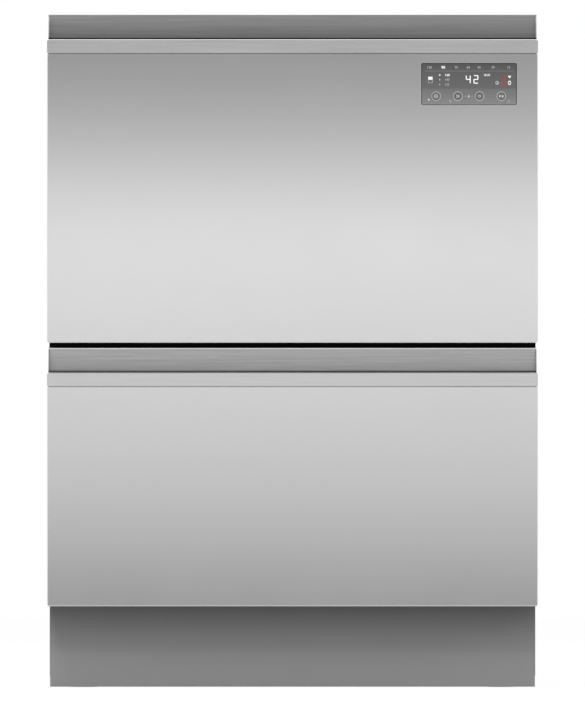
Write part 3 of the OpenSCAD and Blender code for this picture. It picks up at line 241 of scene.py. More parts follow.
def makeLamp(name, place, target, size, power):
    bpy.ops.object.light_add(type="AREA", location=place)
    lamp = bpy.context.object
    lamp.name = name
    lamp.data.shape = "DISK"
    lamp.data.size = size
    lamp.data.energy = power
    lamp.rotation_euler = (Vector(target) - Vector(place)).to_track_quat("-Z", "Y").to_euler()
    lamp.visible_glossy = False


bpy.context.scene.view_settings.view_transform = "Standard"
makeWorld()
makeFloor()
makeCard()
for lampName, lampValues in lamps.items():
    makeLamp(lampName, *lampValues)
print("light and floor ready")


# Stainless sheet, brushed along X. The scratches are long and hair-fine, so it mirrors the room as a
# soft gradient, and faint smudges change how sharp that is. Each row has the colour, the width of a scratch
# in mm, the roughness, how much lighter or darker a scratch is, and its depth in mm. Real scratches are
# about 0.1 mm wide, which is too fine to show, so they are drawn as coarse as this.
brushedMetals = {
    "fineBrushedSteel": ("#DEDEDE", 0.45, 0.24, 0.012, 0.006),
    # the lower front: the same sheet, with a painted shade along its foot
    "brushedSteelPaintedHemShade": ("#DEDEDE", 0.45, 0.24, 0.012, 0.006),
    # upper lip: made lighter than the fronts as painted light
    "coarseSteelPaintedLight": ("#F2F2F2", 2.0, 0.30, 0.07, 0.02),       # streaky, on the bent lips
    # lower lip: the same steel, made darker as painted shade from the upper drawer
    "coarseSteelPaintedShade": ("#D4D4D4", 2.0, 0.30, 0.07, 0.02),       # the same in the upper drawer's shade
    "polishedFrameSteel": ("#FAFAFA", 0.8, 0.22, 0.02, 0.004),      # brighter than the sheet round it
    "anodisedAluminiumPlate": ("#D2D4D6", 0.7, 0.36, 0.03, 0.006),  # a clear hard skin blurs the shine
}
brush = {
    "along": 7,                 # scratches that follow each other in a metre
    "smudges": (9, 9, 14),      # smudges in a metre along X, Y and Z
    "smudgeShare": 0.5,         # weight of the smudges in the roughness, where the scratches have 1
    "roughSpread": 0.04,        # how far the roughness goes up and down
    "bump": 0.6,
}


# the scratches as a pattern, from the repeats along them and their width in mm
def scratches(tree, along, width):
    return addNode(tree, "ShaderNodeTexNoise", {"Scale": 1.0, "Detail": 5.0, "Roughness": 0.7},
                   {"Vector": ownPoint(tree, (along, along, 1 / (width * mm)))}).outputs["Fac"]


def brushedMetal(name):
    colour, width, roughness, contrast, depth = brushedMetals[name]
    material, tree, shader = startMaterial(name, colour, roughness, 1.0)
    hair = scratches(tree, brush["along"], width)
    base = linear(colour)
    addNode(tree, "ShaderNodeValToRGB", links={"Fac": hair}, leads={"Color": shader.inputs["Base Color"]},
            stops=[(noiseLow, shaded(base, 1 - contrast)), (noiseHigh, shaded(base, 1 + contrast))])
    smudge = addNode(tree, "ShaderNodeTexNoise", {"Scale": 1.0, "Detail": 2.0},
                     {"Vector": ownPoint(tree, brush["smudges"])})
    both = addNode(tree, "ShaderNodeMath", {1: brush["smudgeShare"]}, {0: smudge.outputs["Fac"], 2: hair},
                   operation="MULTIPLY_ADD")
    addNode(tree, "ShaderNodeMapRange",
            {"From Min": 0.4, "From Max": 1.1, "To Min": roughness - brush["roughSpread"],
             "To Max": roughness + brush["roughSpread"]},
            {"Value": both.outputs[0]}, leads={"Result": shader.inputs["Roughness"]})
    addNode(tree, "ShaderNodeBump", {"Strength": brush["bump"], "Distance": depth * mm}, {"Height": hair},
            leads={"Normal": shader.inputs["Normal"]})
    return material


# Painted shade: the lower front's bottom bend is darkened in its colour, because it hangs over the dark
# kick and so mirrors less of the bright floor.
hemShade = {
    "tall": 1.6,            # in mm
    "tone": 0.67,           # of the sheet's own brightness
    "darkUpTo": 0.7,        # as a share of its height; above that it fades out
}


def hemSteelPaintedShade():
    material = brushedMetal("brushedSteelPaintedHemShade")
    tree = material.node_tree
    baseColour = tree.nodes["Principled BSDF"].inputs["Base Color"]
    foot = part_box("lower_front_panel")[0].z
    height = heightShare(tree, foot, foot + hemShade["tall"] * mm)
    shade = addNode(tree, "ShaderNodeValToRGB", links={"Fac": height},
                    stops=[(hemShade["darkUpTo"], grey(hemShade["tone"])), (1.0, grey(1))])
    addNode(tree, "ShaderNodeMix", {"Factor": 1.0},
            {6: baseColour.links[0].from_socket, 7: shade.outputs["Color"]}, leads={2: baseColour},
            data_type="RGBA", blend_type="MULTIPLY")
    return material


# The same brushed sheet, deep in the handle recess. It mirrors what hangs over it, and that shade is painted
# into its colour: a duller grey that falls off towards the lip, a painted dark line where it turns in behind
# the lip, and on the lower recess a painted highlight along its top edge.
recess = {
    "colour": "#B0B0B0", "roughness": 0.34, "along": 9, "scratch": 2.2, "depth": 0.02, "flecks": (0.84, 1.08),
    "behindLip": "#D2D2D2",
    "shadeLineFrom": 0.05,           # below the lip's edge, as a share of the recess's height
    "shadeLineFull": 0.02,
    "places": (0.055, 0.08, 0.45, 0.93, 0.95),      # of the tones, from the lip's edge to the recess's top
    # painted shade and highlight: each row darkens towards the lip; the lower row ends in a painted highlight
    "upper": ("#1C1C1C", "#A8A8A8", "#B4B4B4", "#C7C7C7", "#BEBEBE"),
    "lower": ("#606060", "#A9A9A9", "#B0B0B0", "#BABABA", "#FCFCFC"),
}


def recessSteelAndShade():
    material, tree, shader = startMaterial("recessSteelPaintedShade", recess["colour"], recess["roughness"], 1.0)
    hair = scratches(tree, recess["along"], recess["scratch"])
    height = ownPlace(tree, "Z")
    lips = {drawer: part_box(drawer + "_handle_lip")[1].z for drawer in drawers}
    span = {drawer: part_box(drawer + "_handle_recess") for drawer in drawers}
    shares = {}
    # each recess gets its own painted shade, by height from its lip
    for drawer in drawers:
        low, high = span[drawer][0].z, span[drawer][1].z
        share = addNode(tree, "ShaderNodeMapRange", {"From Min": low, "From Max": high}, {"Value": height})
        lip = (lips[drawer] - low) / (high - low)
        tones = recess[drawer]
        stops = [(0.0, recess["behindLip"]), (lip - recess["shadeLineFrom"], recess["behindLip"]),
                 (lip - recess["shadeLineFull"], tones[0])]
        stops += [(lip + place * (1 - lip), tone) for place, tone in zip(recess["places"], tones)]
        shares[drawer] = addNode(tree, "ShaderNodeValToRGB", links={"Fac": share.outputs["Result"]},
                                 stops=stops).outputs["Color"]
    between = (lips["upper"] + span["lower"][1].z) / 2
    isUpper = addNode(tree, "ShaderNodeMath", {1: between}, {0: height}, operation="GREATER_THAN")
    either = addNode(tree, "ShaderNodeMix", data_type="RGBA",
                     links={"Factor": isUpper.outputs[0], 6: shares["lower"], 7: shares["upper"]})
    dark, pale = recess["flecks"]
    fleck = addNode(tree, "ShaderNodeValToRGB", links={"Fac": hair},
                    stops=[(noiseLow, grey(dark)), (noiseHigh, grey(pale))])
    addNode(tree, "ShaderNodeMix", {"Factor": 1.0}, {6: either.outputs[2], 7: fleck.outputs["Color"]},
            leads={2: shader.inputs["Base Color"]}, data_type="RGBA", blend_type="MULTIPLY")
    addNode(tree, "ShaderNodeBump", {"Strength": brush["bump"], "Distance": recess["depth"] * mm},
            {"Height": hair}, leads={"Normal": shader.inputs["Normal"]})
    return material


# Hot-dip zinc on steel sheet: a satin grey skin of flat crystals, each a little lighter or duller.
zinc = {"colour": "#A8ACAF", "dark": "#A4A8AB", "pale": "#ACB0B3", "roughness": 0.45, "roughSpread": 0.03,
        "crystal": 8, "streak": 2, "depth": 0.01}


def zincSheet(name="hotDipZincSheet"):
    roughness, spread = zinc["roughness"], zinc["roughSpread"]
    material, tree, shader = startMaterial(name, zinc["colour"], roughness, 1.0)
    point = ownPoint(tree)
    spangle = addNode(tree, "ShaderNodeTexVoronoi", {"Scale": 1 / (zinc["crystal"] * mm)}, {"Vector": point})
    level = addNode(tree, "ShaderNodeSeparateColor", links={"Color": spangle.outputs["Color"]})
    addNode(tree, "ShaderNodeValToRGB", links={"Fac": level.outputs["Red"]},
            stops=[(0.1, zinc["dark"]), (0.9, zinc["pale"])], leads={"Color": shader.inputs["Base Color"]})
    addNode(tree, "ShaderNodeMapRange",
            {"To Min": roughness - spread, "To Max": roughness + spread}, {"Value": level.outputs["Green"]},
            leads={"Result": shader.inputs["Roughness"]})
    streak = addNode(tree, "ShaderNodeTexNoise", {"Scale": 1 / (zinc["streak"] * mm), "Detail": 2.0},
                     {"Vector": point})
    addNode(tree, "ShaderNodeBump", {"Strength": 1.0, "Distance": zinc["depth"] * mm},
            {"Height": streak.outputs["Fac"]}, leads={"Normal": shader.inputs["Normal"]})
    return material


# The side panels are the same zinc sheet, made matt black along the front edge as painted shade, so that
# it doesn't shine out beside the drawers.
paintedEdgeShade = {"colour": "#050505", "roughness": 0.8, "specular": 0.12, "wide": 6}


def sidePanelZinc():
    material = zincSheet("zincSheetPaintedEdgeShade")
    tree = material.node_tree
    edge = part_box("left_side_panel")[0].y + paintedEdgeShade["wide"] * mm
    inFront = addNode(tree, "ShaderNodeMath", {1: edge}, {0: ownPlace(tree, "Y")}, operation="LESS_THAN")
    black = addNode(tree, "ShaderNodeBsdfPrincipled",
                    {"Base Color": linear(paintedEdgeShade["colour"]), "Roughness": paintedEdgeShade["roughness"],
                     "Specular IOR Level": paintedEdgeShade["specular"]})
    bare = tree.nodes["Principled BSDF"]
    addNode(tree, "ShaderNodeMixShader",
            links={0: inFront.outputs[0], 1: bare.outputs["BSDF"], 2: black.outputs["BSDF"]},
            leads={"Shader": tree.nodes["Material Output"].inputs["Surface"]})
    return material


# Black powder coat on the rail between the drawers, darkened to near black as painted shadow: matt and so
# dark that it reads as a shadow gap.
railCoatAndShadow = {"colour": "#030303", "roughness": 0.9, "specular": 0.12, "pebble": 0.8, "depth": 0.03}


def shadowBlackCoat():
    material, tree, shader = startMaterial("blackCoatPaintedShadow", railCoatAndShadow["colour"], railCoatAndShadow["roughness"])
    shader.inputs["Specular IOR Level"].default_value = railCoatAndShadow["specular"]
    pebble = addNode(tree, "ShaderNodeTexNoise", {"Scale": 1 / (railCoatAndShadow["pebble"] * mm), "Detail": 2.0},
                     {"Vector": ownPoint(tree)})
    addNode(tree, "ShaderNodeBump", {"Strength": 1.0, "Distance": railCoatAndShadow["depth"] * mm},
            {"Height": pebble.outputs["Fac"]}, leads={"Normal": shader.inputs["Normal"]})
    return material


# Bright zinc-plated steel, as on runners and screws: shiny, with a faint bluish cloud and drawn lines. A
# drawn line has its width along X and Z in mm, and so many follow each other in a metre along Y.
plating = {"colour": "#C2C7CC", "dark": "#B8BDC4", "pale": "#CDD0D2", "roughness": 0.3, "roughSpread": 0.08,
           "cloud": 45, "lineWide": 3, "lineHigh": 1.2, "alongY": 12, "depth": 0.01}


def platedSteel():
    roughness, spread = plating["roughness"], plating["roughSpread"]
    material, tree, shader = startMaterial("brightPlatedSteel", plating["colour"], roughness, 1.0)
    wide, high = plating["lineWide"] * mm, plating["lineHigh"] * mm
    lines = addNode(tree, "ShaderNodeTexNoise", {"Scale": 1.0, "Detail": 3.0},
                    {"Vector": ownPoint(tree, (1 / wide, plating["alongY"], 1 / high))})
    cloud = addNode(tree, "ShaderNodeTexNoise", {"Scale": 1 / (plating["cloud"] * mm)},
                    {"Vector": ownPoint(tree)})
    addNode(tree, "ShaderNodeValToRGB", links={"Fac": cloud.outputs["Fac"]},
            stops=[(noiseLow, plating["dark"]), (noiseHigh, plating["pale"])],
            leads={"Color": shader.inputs["Base Color"]})
    addNode(tree, "ShaderNodeMapRange", {"To Min": roughness - spread, "To Max": roughness + spread},
            {"Value": lines.outputs["Fac"]}, leads={"Result": shader.inputs["Roughness"]})
    addNode(tree, "ShaderNodeBump", {"Strength": 1.0, "Distance": plating["depth"] * mm},
            {"Height": lines.outputs["Fac"]}, leads={"Normal": shader.inputs["Normal"]})
    return material


# Moulded plastic: a fine spark-eroded grain that scatters the highlight, and a slow drift of tone where
# the wall is thicker or thinner. Each row has the colour, the roughness, and the grain's width and depth in
# mm. A real grain is about 0.2 mm wide, which is too fine to show, so it is drawn as coarse as this.
plastics = {
    "nylonCoatedWire": ("#8A939A", 0.38, 0.9, 0.01),        # dipped coat: a smooth skin with a soft shine
    "darkMouldedAbs": ("#232426", 0.5, 1.0, 0.02),          # satin, almost black
    "glassFilledFrame": ("#222325", 0.55, 1.0, 0.02),       # duller, because the fibres roughen its skin
    "tubPolypropylene": ("#C2C7CA", 0.32, 1.6, 0.012),      # pale and waxy, with a broad highlight
    "lidPolypropylene": ("#DADCDC", 0.36, 1.6, 0.012),      # the same, nearer to white
    "motorHousingPbt": ("#1B1C1E", 0.45, 1.0, 0.02),        # black, with a dense and even skin
    "basketPolypropylene": ("#626B72", 0.42, 1.2, 0.015),   # soft mid grey
    "dispenserMoulding": ("#CFD2D4", 0.28, 1.4, 0.008),     # polished in the mould, so it shines more
    "dispenserDoorMoulding": ("#858D95", 0.28, 1.4, 0.008),
    "sealRubber": ("#2A2B2D", 0.72, 0.7, 0.02),             # matt and dark
    "sprayArmPolypropylene": ("#A2ABB0", 0.36, 1.4, 0.01),
    "hoseCarrierMoulding": ("#45474A", 0.45, 1.2, 0.02),
    "buttonAbs": ("#5A5A5A", 0.42, 0.8, 0.006),             # satin, a little lighter than the window
    "printedGreyMark": ("#B2B2B2", 0.5, 0.6, 0.002),        # the prints are flat ink with hardly any shine
    "printedRingMark": ("#A6A6A6", 0.5, 0.6, 0.002),
    "printedFaintMark": ("#868686", 0.5, 0.6, 0.002),
    "printedPaleSymbol": ("#DADADA", 0.5, 0.6, 0.002),
    "pressedBitumenPad": ("#2C2D2F", 0.75, 2.4, 0.06),      # tarry felt: matt, with a rough skin
    "jetAcetal": ("#6F777C", 0.35, 1.2, 0.01),              # dense, with a close waxy sheen
    "bezelMoulding": ("#A9AFB4", 0.3, 1.2, 0.008),
    "tintedLensAcrylic": ("#33505F", 0.1, 0.8, 0.002),      # glossy dark blue
}
moulding = {"drift": 0.04, "driftWide": 140, "smoother": 0.04, "rougher": 0.05}


def mouldedPlastic(name):
    colour, roughness, grain, depth = plastics[name]
    material, tree, shader = startMaterial(name, colour, roughness)
    point = ownPoint(tree)
    fine = addNode(tree, "ShaderNodeTexNoise", {"Scale": 1 / (grain * mm), "Detail": 3.0}, {"Vector": point})
    slow = addNode(tree, "ShaderNodeTexNoise", {"Scale": 1 / (moulding["driftWide"] * mm), "Detail": 2.0},
                   {"Vector": point})
    base, drift = linear(colour), moulding["drift"]
    addNode(tree, "ShaderNodeValToRGB", links={"Fac": slow.outputs["Fac"]},
            stops=[(noiseLow, shaded(base, 1 - drift)), (noiseHigh, shaded(base, 1 + drift))],
            leads={"Color": shader.inputs["Base Color"]})
    addNode(tree, "ShaderNodeMapRange",
            {"To Min": roughness - moulding["smoother"], "To Max": roughness + moulding["rougher"]},
            {"Value": fine.outputs["Fac"]}, leads={"Result": shader.inputs["Roughness"]})
    addNode(tree, "ShaderNodeBump", {"Strength": 1.0, "Distance": depth * mm},
            {"Height": fine.outputs["Fac"]}, leads={"Normal": shader.inputs["Normal"]})
    return material


# Stoved paint on the toe kick: a smooth mid grey with the slight orange peel of a sprayed coat. Its tones
# are painted shade: darker towards the top, which the fronts above keep in their shade. The tones go from
# its foot, at 0, to its top, at 1.
kick = {
    "colour": "#848484", "roughness": 0.5, "peel": 1.6, "depth": 0.02,
    "tones": [(0.0, "#8B8B8B"), (0.2, "#8E8E8E"), (0.38, "#929292"), (0.58, "#8B8B8B"), (0.8, "#777777"),
              (1.0, "#646464")],
}


def kickPaint():
    low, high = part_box("toe_kick")
    material, tree, shader = startMaterial("stovedGreyPaint", kick["colour"], kick["roughness"])
    addNode(tree, "ShaderNodeValToRGB", links={"Fac": heightShare(tree, low.z, high.z)},
            stops=kick["tones"], leads={"Color": shader.inputs["Base Color"]})
    peel = addNode(tree, "ShaderNodeTexNoise", {"Scale": 1 / (kick["peel"] * mm), "Detail": 2.0},
                   {"Vector": ownPoint(tree)})
    addNode(tree, "ShaderNodeBump", {"Strength": 1.0, "Distance": kick["depth"] * mm},
            {"Height": peel.outputs["Fac"]}, leads={"Normal": shader.inputs["Normal"]})
    return material


# Polypropylene of the filter plate: satin grey with a fine woven-looking sieve moulded in it. A hole is
# painted dark, as the shade inside it, up to the first radius and ends at the second, both as shares of the
# pitch.
sieve = {"colour": "#79838A", "holeShade": "#2E3336", "roughness": 0.4, "pitch": 2.6, "holeR": 0.24,
         "rimR": 0.34, "depth": 0.3}


def sievePlastic():
    material, tree, shader = startMaterial("sievePolypropylene", sieve["colour"], sieve["roughness"])
    cells = addNode(tree, "ShaderNodeTexVoronoi", {"Scale": 1 / (sieve["pitch"] * mm), "Randomness": 0.0},
                    {"Vector": ownPoint(tree)})
    holes = addNode(tree, "ShaderNodeValToRGB", links={"Fac": cells.outputs["Distance"]},
                    stops=[(sieve["holeR"], sieve["holeShade"]), (sieve["rimR"], sieve["colour"])],
                    leads={"Color": shader.inputs["Base Color"]})
    addNode(tree, "ShaderNodeBump", {"Strength": 1.0, "Distance": sieve["depth"] * mm},
            {"Height": holes.outputs["Color"]}, leads={"Normal": shader.inputs["Normal"]})
    return material


# White nylon of the inlet valve, faintly cloudy. Its connector carries a 3/4 inch thread, drawn as rings.
inlet = {"colour": "#DAD9D2", "dark": "#D2D1C9", "pale": "#E2E1DA", "roughness": 0.4, "cloud": 30,
         "threadLong": 12.5, "threadPitch": 1.81, "threadDeep": 0.5}


def valveNylon():
    material, tree, shader = startMaterial("mouldedNylon", inlet["colour"], inlet["roughness"])
    along = ownPlace(tree, "Y")
    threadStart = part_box("inlet_valve")[1].y - inlet["threadLong"] * mm
    turns = addNode(tree, "ShaderNodeMath", {1: 2 * math.pi / (inlet["threadPitch"] * mm)}, {0: along},
                    operation="MULTIPLY")
    ridges = addNode(tree, "ShaderNodeMath", links={0: turns.outputs[0]}, operation="SINE")
    onThread = addNode(tree, "ShaderNodeMath", {1: threadStart}, {0: along}, operation="GREATER_THAN")
    thread = addNode(tree, "ShaderNodeMath", links={0: ridges.outputs[0], 1: onThread.outputs[0]},
                     operation="MULTIPLY")
    cloud = addNode(tree, "ShaderNodeTexNoise", {"Scale": 1 / (inlet["cloud"] * mm)},
                    {"Vector": ownPoint(tree)})
    addNode(tree, "ShaderNodeValToRGB", links={"Fac": cloud.outputs["Fac"]},
            stops=[(noiseLow, inlet["dark"]), (noiseHigh, inlet["pale"])],
            leads={"Color": shader.inputs["Base Color"]})
    addNode(tree, "ShaderNodeBump", {"Strength": 1.0, "Distance": inlet["threadDeep"] * mm},
            {"Height": thread.outputs[0]}, leads={"Normal": shader.inputs["Normal"]})
    return material


# Smoked acrylic with a grey print on its back: glossy, with a darker display field above a lighter
# field for the buttons. The tones go from its foot, at 0, to its top, at 1.
acrylic = {
    "colour": "#606060", "roughness": 0.2, "roughSpread": 0.04, "dust": 0.8,
    "tones": [(0.0, "#7E7E7E"), (0.1, "#767676"), (0.385, "#676767"), (0.395, "#5D5D5D"), (0.8, "#545454"),
              (1.0, "#484848")],
}


def smokedWindow():
    low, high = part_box("control_window")
    roughness, spread = acrylic["roughness"], acrylic["roughSpread"]
    material, tree, shader = startMaterial("smokedAcrylic", acrylic["colour"], roughness)
    addNode(tree, "ShaderNodeValToRGB", links={"Fac": heightShare(tree, low.z, high.z)},
            stops=acrylic["tones"], leads={"Color": shader.inputs["Base Color"]})
    dust = addNode(tree, "ShaderNodeTexNoise", {"Scale": 1 / (acrylic["dust"] * mm), "Detail": 2.0},
                   {"Vector": ownPoint(tree)})
    addNode(tree, "ShaderNodeMapRange", {"To Min": roughness - spread, "To Max": roughness + spread},
            {"Value": dust.outputs["Fac"]}, leads={"Result": shader.inputs["Roughness"]})
    return material


# Marks that a lamp behind the window lights up: they glow evenly. Each has the glow's colour and strength.
litMarks = {"litWhiteMark": ("#FFFFFF", 1.0), "litRedMark": ("#BE3030", 0.9)}
unlit = {"colour": "#101010", "roughness": 0.4}     # what a mark is under its glow


def lampMark(name):
    colour, strength = litMarks[name]
    material, tree, shader = startMaterial(name, unlit["colour"], unlit["roughness"])
    shader.inputs["Emission Color"].default_value = linear(colour)
    shader.inputs["Emission Strength"].default_value = strength
    return material


# which nodes wear each moulded plastic
plasticNodes = {
    "nylonCoatedWire": bothDrawers("rack", "folding_tines", "cup_shelf"),
    "darkMouldedAbs": ["base_tray", "levelling_feet", "drain_outlet", "power_module", "control_module"],
    "glassFilledFrame": bothDrawers("front_frame"),
    "tubPolypropylene": bothDrawers("tub"),
    "lidPolypropylene": ["lid_lifters"] + bothDrawers("lid"),
    "motorHousingPbt": bothDrawers("wash_motor"),
    "basketPolypropylene": bothDrawers("cutlery_basket"),
    "dispenserMoulding": bothDrawers("dispenser"),
    "dispenserDoorMoulding": bothDrawers("detergent_door"),
    "sealRubber": bothDrawers("lid_seal"),
    "sprayArmPolypropylene": bothDrawers("spray_arm"),
    "hoseCarrierMoulding": bothDrawers("rear_link", "front_link"),
    "buttonAbs": buttonNames,
}
paint(brushedMetal("fineBrushedSteel"), "upper_front_panel")
paint(hemSteelPaintedShade(), "lower_front_panel")
paint(brushedMetal("coarseSteelPaintedLight"), "upper_handle_lip")
paint(brushedMetal("coarseSteelPaintedShade"), "lower_handle_lip")
paint(recessSteelAndShade(), *bothDrawers("handle_recess"))
paint(zincSheet(), "top_panel", "back_panel")
paint(sidePanelZinc(), "left_side_panel", "right_side_panel")
paint(platedSteel(), "runner_outer_rails", "chassis_screws",
      *bothDrawers("runner_inner_rails", "runner_middle_rails"))
paint(kickPaint(), "toe_kick")
paint(shadowBlackCoat(), "middle_rail")
paint(valveNylon(), "inlet_valve")
paint(sievePlastic(), *bothDrawers("filter_plate"))
paint(smokedWindow(), "control_window")
for plasticName, nodeNames in plasticNodes.items():
    paint(mouldedPlastic(plasticName), *nodeNames)
print("materials ready")


# Places one finished piece: its origin at the world's, its name, finish, slot and body.
def finishPiece(parts, name, material, body):
    bpy.ops.object.select_all(action="DESELECT")
    for part in parts:
        part.select_set(True)
    bpy.context.view_layer.objects.active = parts[0]
    bpy.ops.object.transform_apply(location=True, rotation=True, scale=True)
    if len(parts) > 1:
        bpy.ops.object.join()
    piece = bpy.context.object
    piece.name = name
    piece.data.name = name
    piece.data.materials.clear()
    piece.data.materials.append(material)
    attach(piece, body)
    bpy.ops.object.select_all(action="DESELECT")


# the control window's marks, placed in millimetres across and down from its top left corner
marks = {"thick": 0.06, "lift": 0.01, "ringR": 5.35, "ringW": 0.8, "digitWide": 4.8, "digitTall": 9.2,
         "digitStroke": 1.25, "programSize": 4.1, "listSize": 3.9, "lineLong": 107.5, "lineThick": 0.35}
column = {"powerDot": 9.2, "cup": 11.2, "listDots": 22.6, "litProgram": 26.9, "list": 31.4, "litList": 31.8,
          "programNote": 35.4, "tens": 57.4, "lock": 58.0, "line": 58.3, "units": 66.8, "clock": 80.0,
          "fan": 92.7, "redLamps": 100.4, "startNote": 106.8, "whiteLamps": 107.8}
row = {"programs": 5.5, "line": 9.8, "list": (14.8, 20.5, 26.3), "upperLamps": 16.7, "filling": 18.6,
       "digits": 20.0, "cup": 22.3, "lowerLamps": 24.2}
belowButtons = {"powerDot": 4.2, "programNote": 6.0, "startNote": 6.3}     # below the buttons' middles
programs = {"120": 9.9, "75": 42.8, "60": 57.4, "45": 70.7, "30": 87.7, "15": 106.6}
windowLow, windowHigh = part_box("control_window")
markY = windowLow.y - (marks["lift"] + marks["thick"] / 2) * mm


def markPlace(across, down):
    return (windowLow.x + across * mm, markY, windowHigh.z - down * mm)


# a flat bar, turned by this many degrees
def bar(across, down, wide, tall, turn=0):
    bpy.ops.mesh.primitive_cube_add(size=1, location=markPlace(across, down),
                                    rotation=(0, math.radians(turn), 0))
    bpy.context.object.scale = (wide * mm, marks["thick"] * mm, tall * mm)
    return bpy.context.object


# a flat shape with this many sides, its first corner turned this far from straight up
def plate(across, down, radius, sides=24, turn=0, stretch=1.0):
    bpy.ops.mesh.primitive_cylinder_add(vertices=sides, radius=radius * mm, depth=marks["thick"] * mm,
                                        location=markPlace(across, down),
                                        rotation=(math.radians(90), math.radians(turn), 0))
    bpy.context.object.scale = (1, stretch, 1)
    return bpy.context.object


# a small upright square, as stands before a line of the list
def square(across, down, radius):
    return plate(across, down, radius, sides=4, turn=45)


def ring(across, down, radius, wide, stretch=1.0):
    bpy.ops.mesh.primitive_torus_add(major_radius=radius * mm, minor_radius=wide / 2 * mm, major_segments=40,
                                     minor_segments=6, location=markPlace(across, down),
                                     rotation=(math.radians(90), 0, 0))
    bpy.context.object.scale = (1, stretch, marks["thick"] / wide)
    return bpy.context.object


def number(across, down, text, size, bold=0.0):
    bpy.ops.object.text_add(location=markPlace(across, down), rotation=(math.radians(90), 0, 0))
    made = bpy.context.object
    made.data.body = text
    made.data.size = size * mm
    made.data.align_x = "CENTER"
    made.data.align_y = "CENTER"
    made.data.extrude = marks["thick"] / 2 * mm
    made.data.offset = bold * mm
    made.data.resolution_u = 3
    bpy.ops.object.convert(target="MESH")
    return bpy.context.object


# seven-segment digit, from the segments that are on
def digit(across, down, segments):
    wide, tall, stroke = marks["digitWide"], marks["digitTall"], marks["digitStroke"]
    half = tall / 2
    places = {
        "top": (0, -half, wide, stroke), "middle": (0, 0, wide, stroke), "bottom": (0, half, wide, stroke),
        "topLeft": (-wide / 2, -half / 2, stroke, half), "topRight": (wide / 2, -half / 2, stroke, half),
        "lowLeft": (-wide / 2, half / 2, stroke, half), "lowRight": (wide / 2, half / 2, stroke, half),
    }
    return [bar(across + places[s][0], down + places[s][1], places[s][2], places[s][3]) for s in segments]


buttonPlaces = {}
for buttonName in buttonNames:
    low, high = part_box(buttonName)
    across = ((low.x + high.x) / 2 - windowLow.x) / mm
    down = (windowHigh.z - (low.z + high.z) / 2) / mm
    buttonPlaces[buttonName] = (across, down)
buttonRow = buttonPlaces["power_button"][1]


# all that a lamp lights white: the chosen program and line of the list, the clock, the minutes left, the
# cup's filling, the power button's dot and two warning lamps
def litParts():
    parts = [number(column["litProgram"], row["programs"], "90", size=4.8, bold=0.12)]
    parts += [square(column["listDots"], row["list"][0], 1.1)]
    parts += [number(column["litList"], row["list"][0], "160", size=4.0, bold=0.1)]
    parts += [number(column["clock"], row["list"][0], "18:30", size=3.6, bold=0.06)]
    parts += digit(column["tens"], row["digits"], ("topLeft", "topRight", "middle", "lowRight"))
    parts += digit(column["units"], row["digits"], ("top", "topRight", "middle", "lowLeft", "bottom"))
    parts += [bar(column["cup"], row["filling"], wide=5.3, tall=3.7)]
    parts += [square(column["powerDot"], buttonRow + belowButtons["powerDot"], 1.1)]
    parts += [plate(column["whiteLamps"], row["upperLamps"], 2.6, sides=3, turn=180, stretch=0.85)]
    parts += [ring(column["whiteLamps"], row["lowerLamps"], 1.5, wide=0.8, stretch=1.4)]
    return parts


# all that is printed in grey
def printedParts():
    parts = [number(across, row["programs"], text, marks["programSize"]) for text, across in programs.items()]
    parts += [square(column["listDots"], down, 1.0) for down in row["list"][1:]]
    parts += [number(column["list"], down, text, marks["listSize"])
              for down, text in zip(row["list"][1:], ("140", "125"))]
    cup, fan, lock = column["cup"], column["fan"], column["lock"]
    parts += [bar(cup + side, row["cup"], wide=0.45, tall=3.8) for side in (-2.5, 2.5)]
    parts += [bar(cup, row["lowerLamps"], wide=5.4, tall=0.45)]
    parts += [ring(fan, row["lowerLamps"], 1.9, wide=0.7), bar(fan, row["lowerLamps"], 3.4, 0.6, turn=-45)]
    parts += [bar(fan + 0.9, row["lowerLamps"] + 0.7, 1.3, 0.9, turn=-45)]
    parts += [bar(lock, buttonRow + 0.5, wide=2.2, tall=1.9), ring(lock, buttonRow - 0.8, 0.75, wide=0.35)]
    parts += [plate(lock + side, buttonRow, 0.45, sides=12) for side in (-4.1, 4.1)]
    parts += [ring(column["programNote"], buttonRow + belowButtons["programNote"], 1.0, wide=0.4,
                   stretch=1.3)]
    parts += [ring(column["startNote"], buttonRow + belowButtons["startNote"], 1.2, wide=0.4)]
    return parts


# a red drop, and under it a red ring with a slanted hand in it
def redParts():
    across, high, low = column["redLamps"], row["upperLamps"], row["lowerLamps"]
    parts = [plate(across, high + 1.0, 1.6, sides=16, stretch=1.1)]
    parts += [plate(across, high - 0.7, 1.5, sides=3, stretch=1.3), ring(across, low, 1.7, wide=1.1)]
    parts += [bar(across - 0.5, low + 0.6, 2.2, 1.2), bar(across - 0.4, low - 0.3, 1.6, 0.9, turn=45)]
    return parts


# The symbols are printed on the buttons and go in with them.
def symbolParts(name, u, v):
    if name == "power_button":
        return [ring(u, v, 2.2, 0.4), bar(u, v - 0.5, 2.0, 0.35), bar(u, v + 0.5, 2.0, 0.35)]
    if name == "program_button":
        return [bar(u + shift, v + side * 0.8, 2.3, 0.55, side * -49)
                for shift in (-1.0, 1.0) for side in (-1, 1)]
    if name == "option_button":
        return [bar(u, v, 3.9, 0.65, turn) for turn in (30, 90, 150)] + [plate(u, v, 0.95)]
    return [plate(u - 1.7, v, 2.1, 3, 90, 0.62), bar(u + 0.9, v, 0.6, 3.1), bar(u + 2.1, v, 0.6, 3.1)]


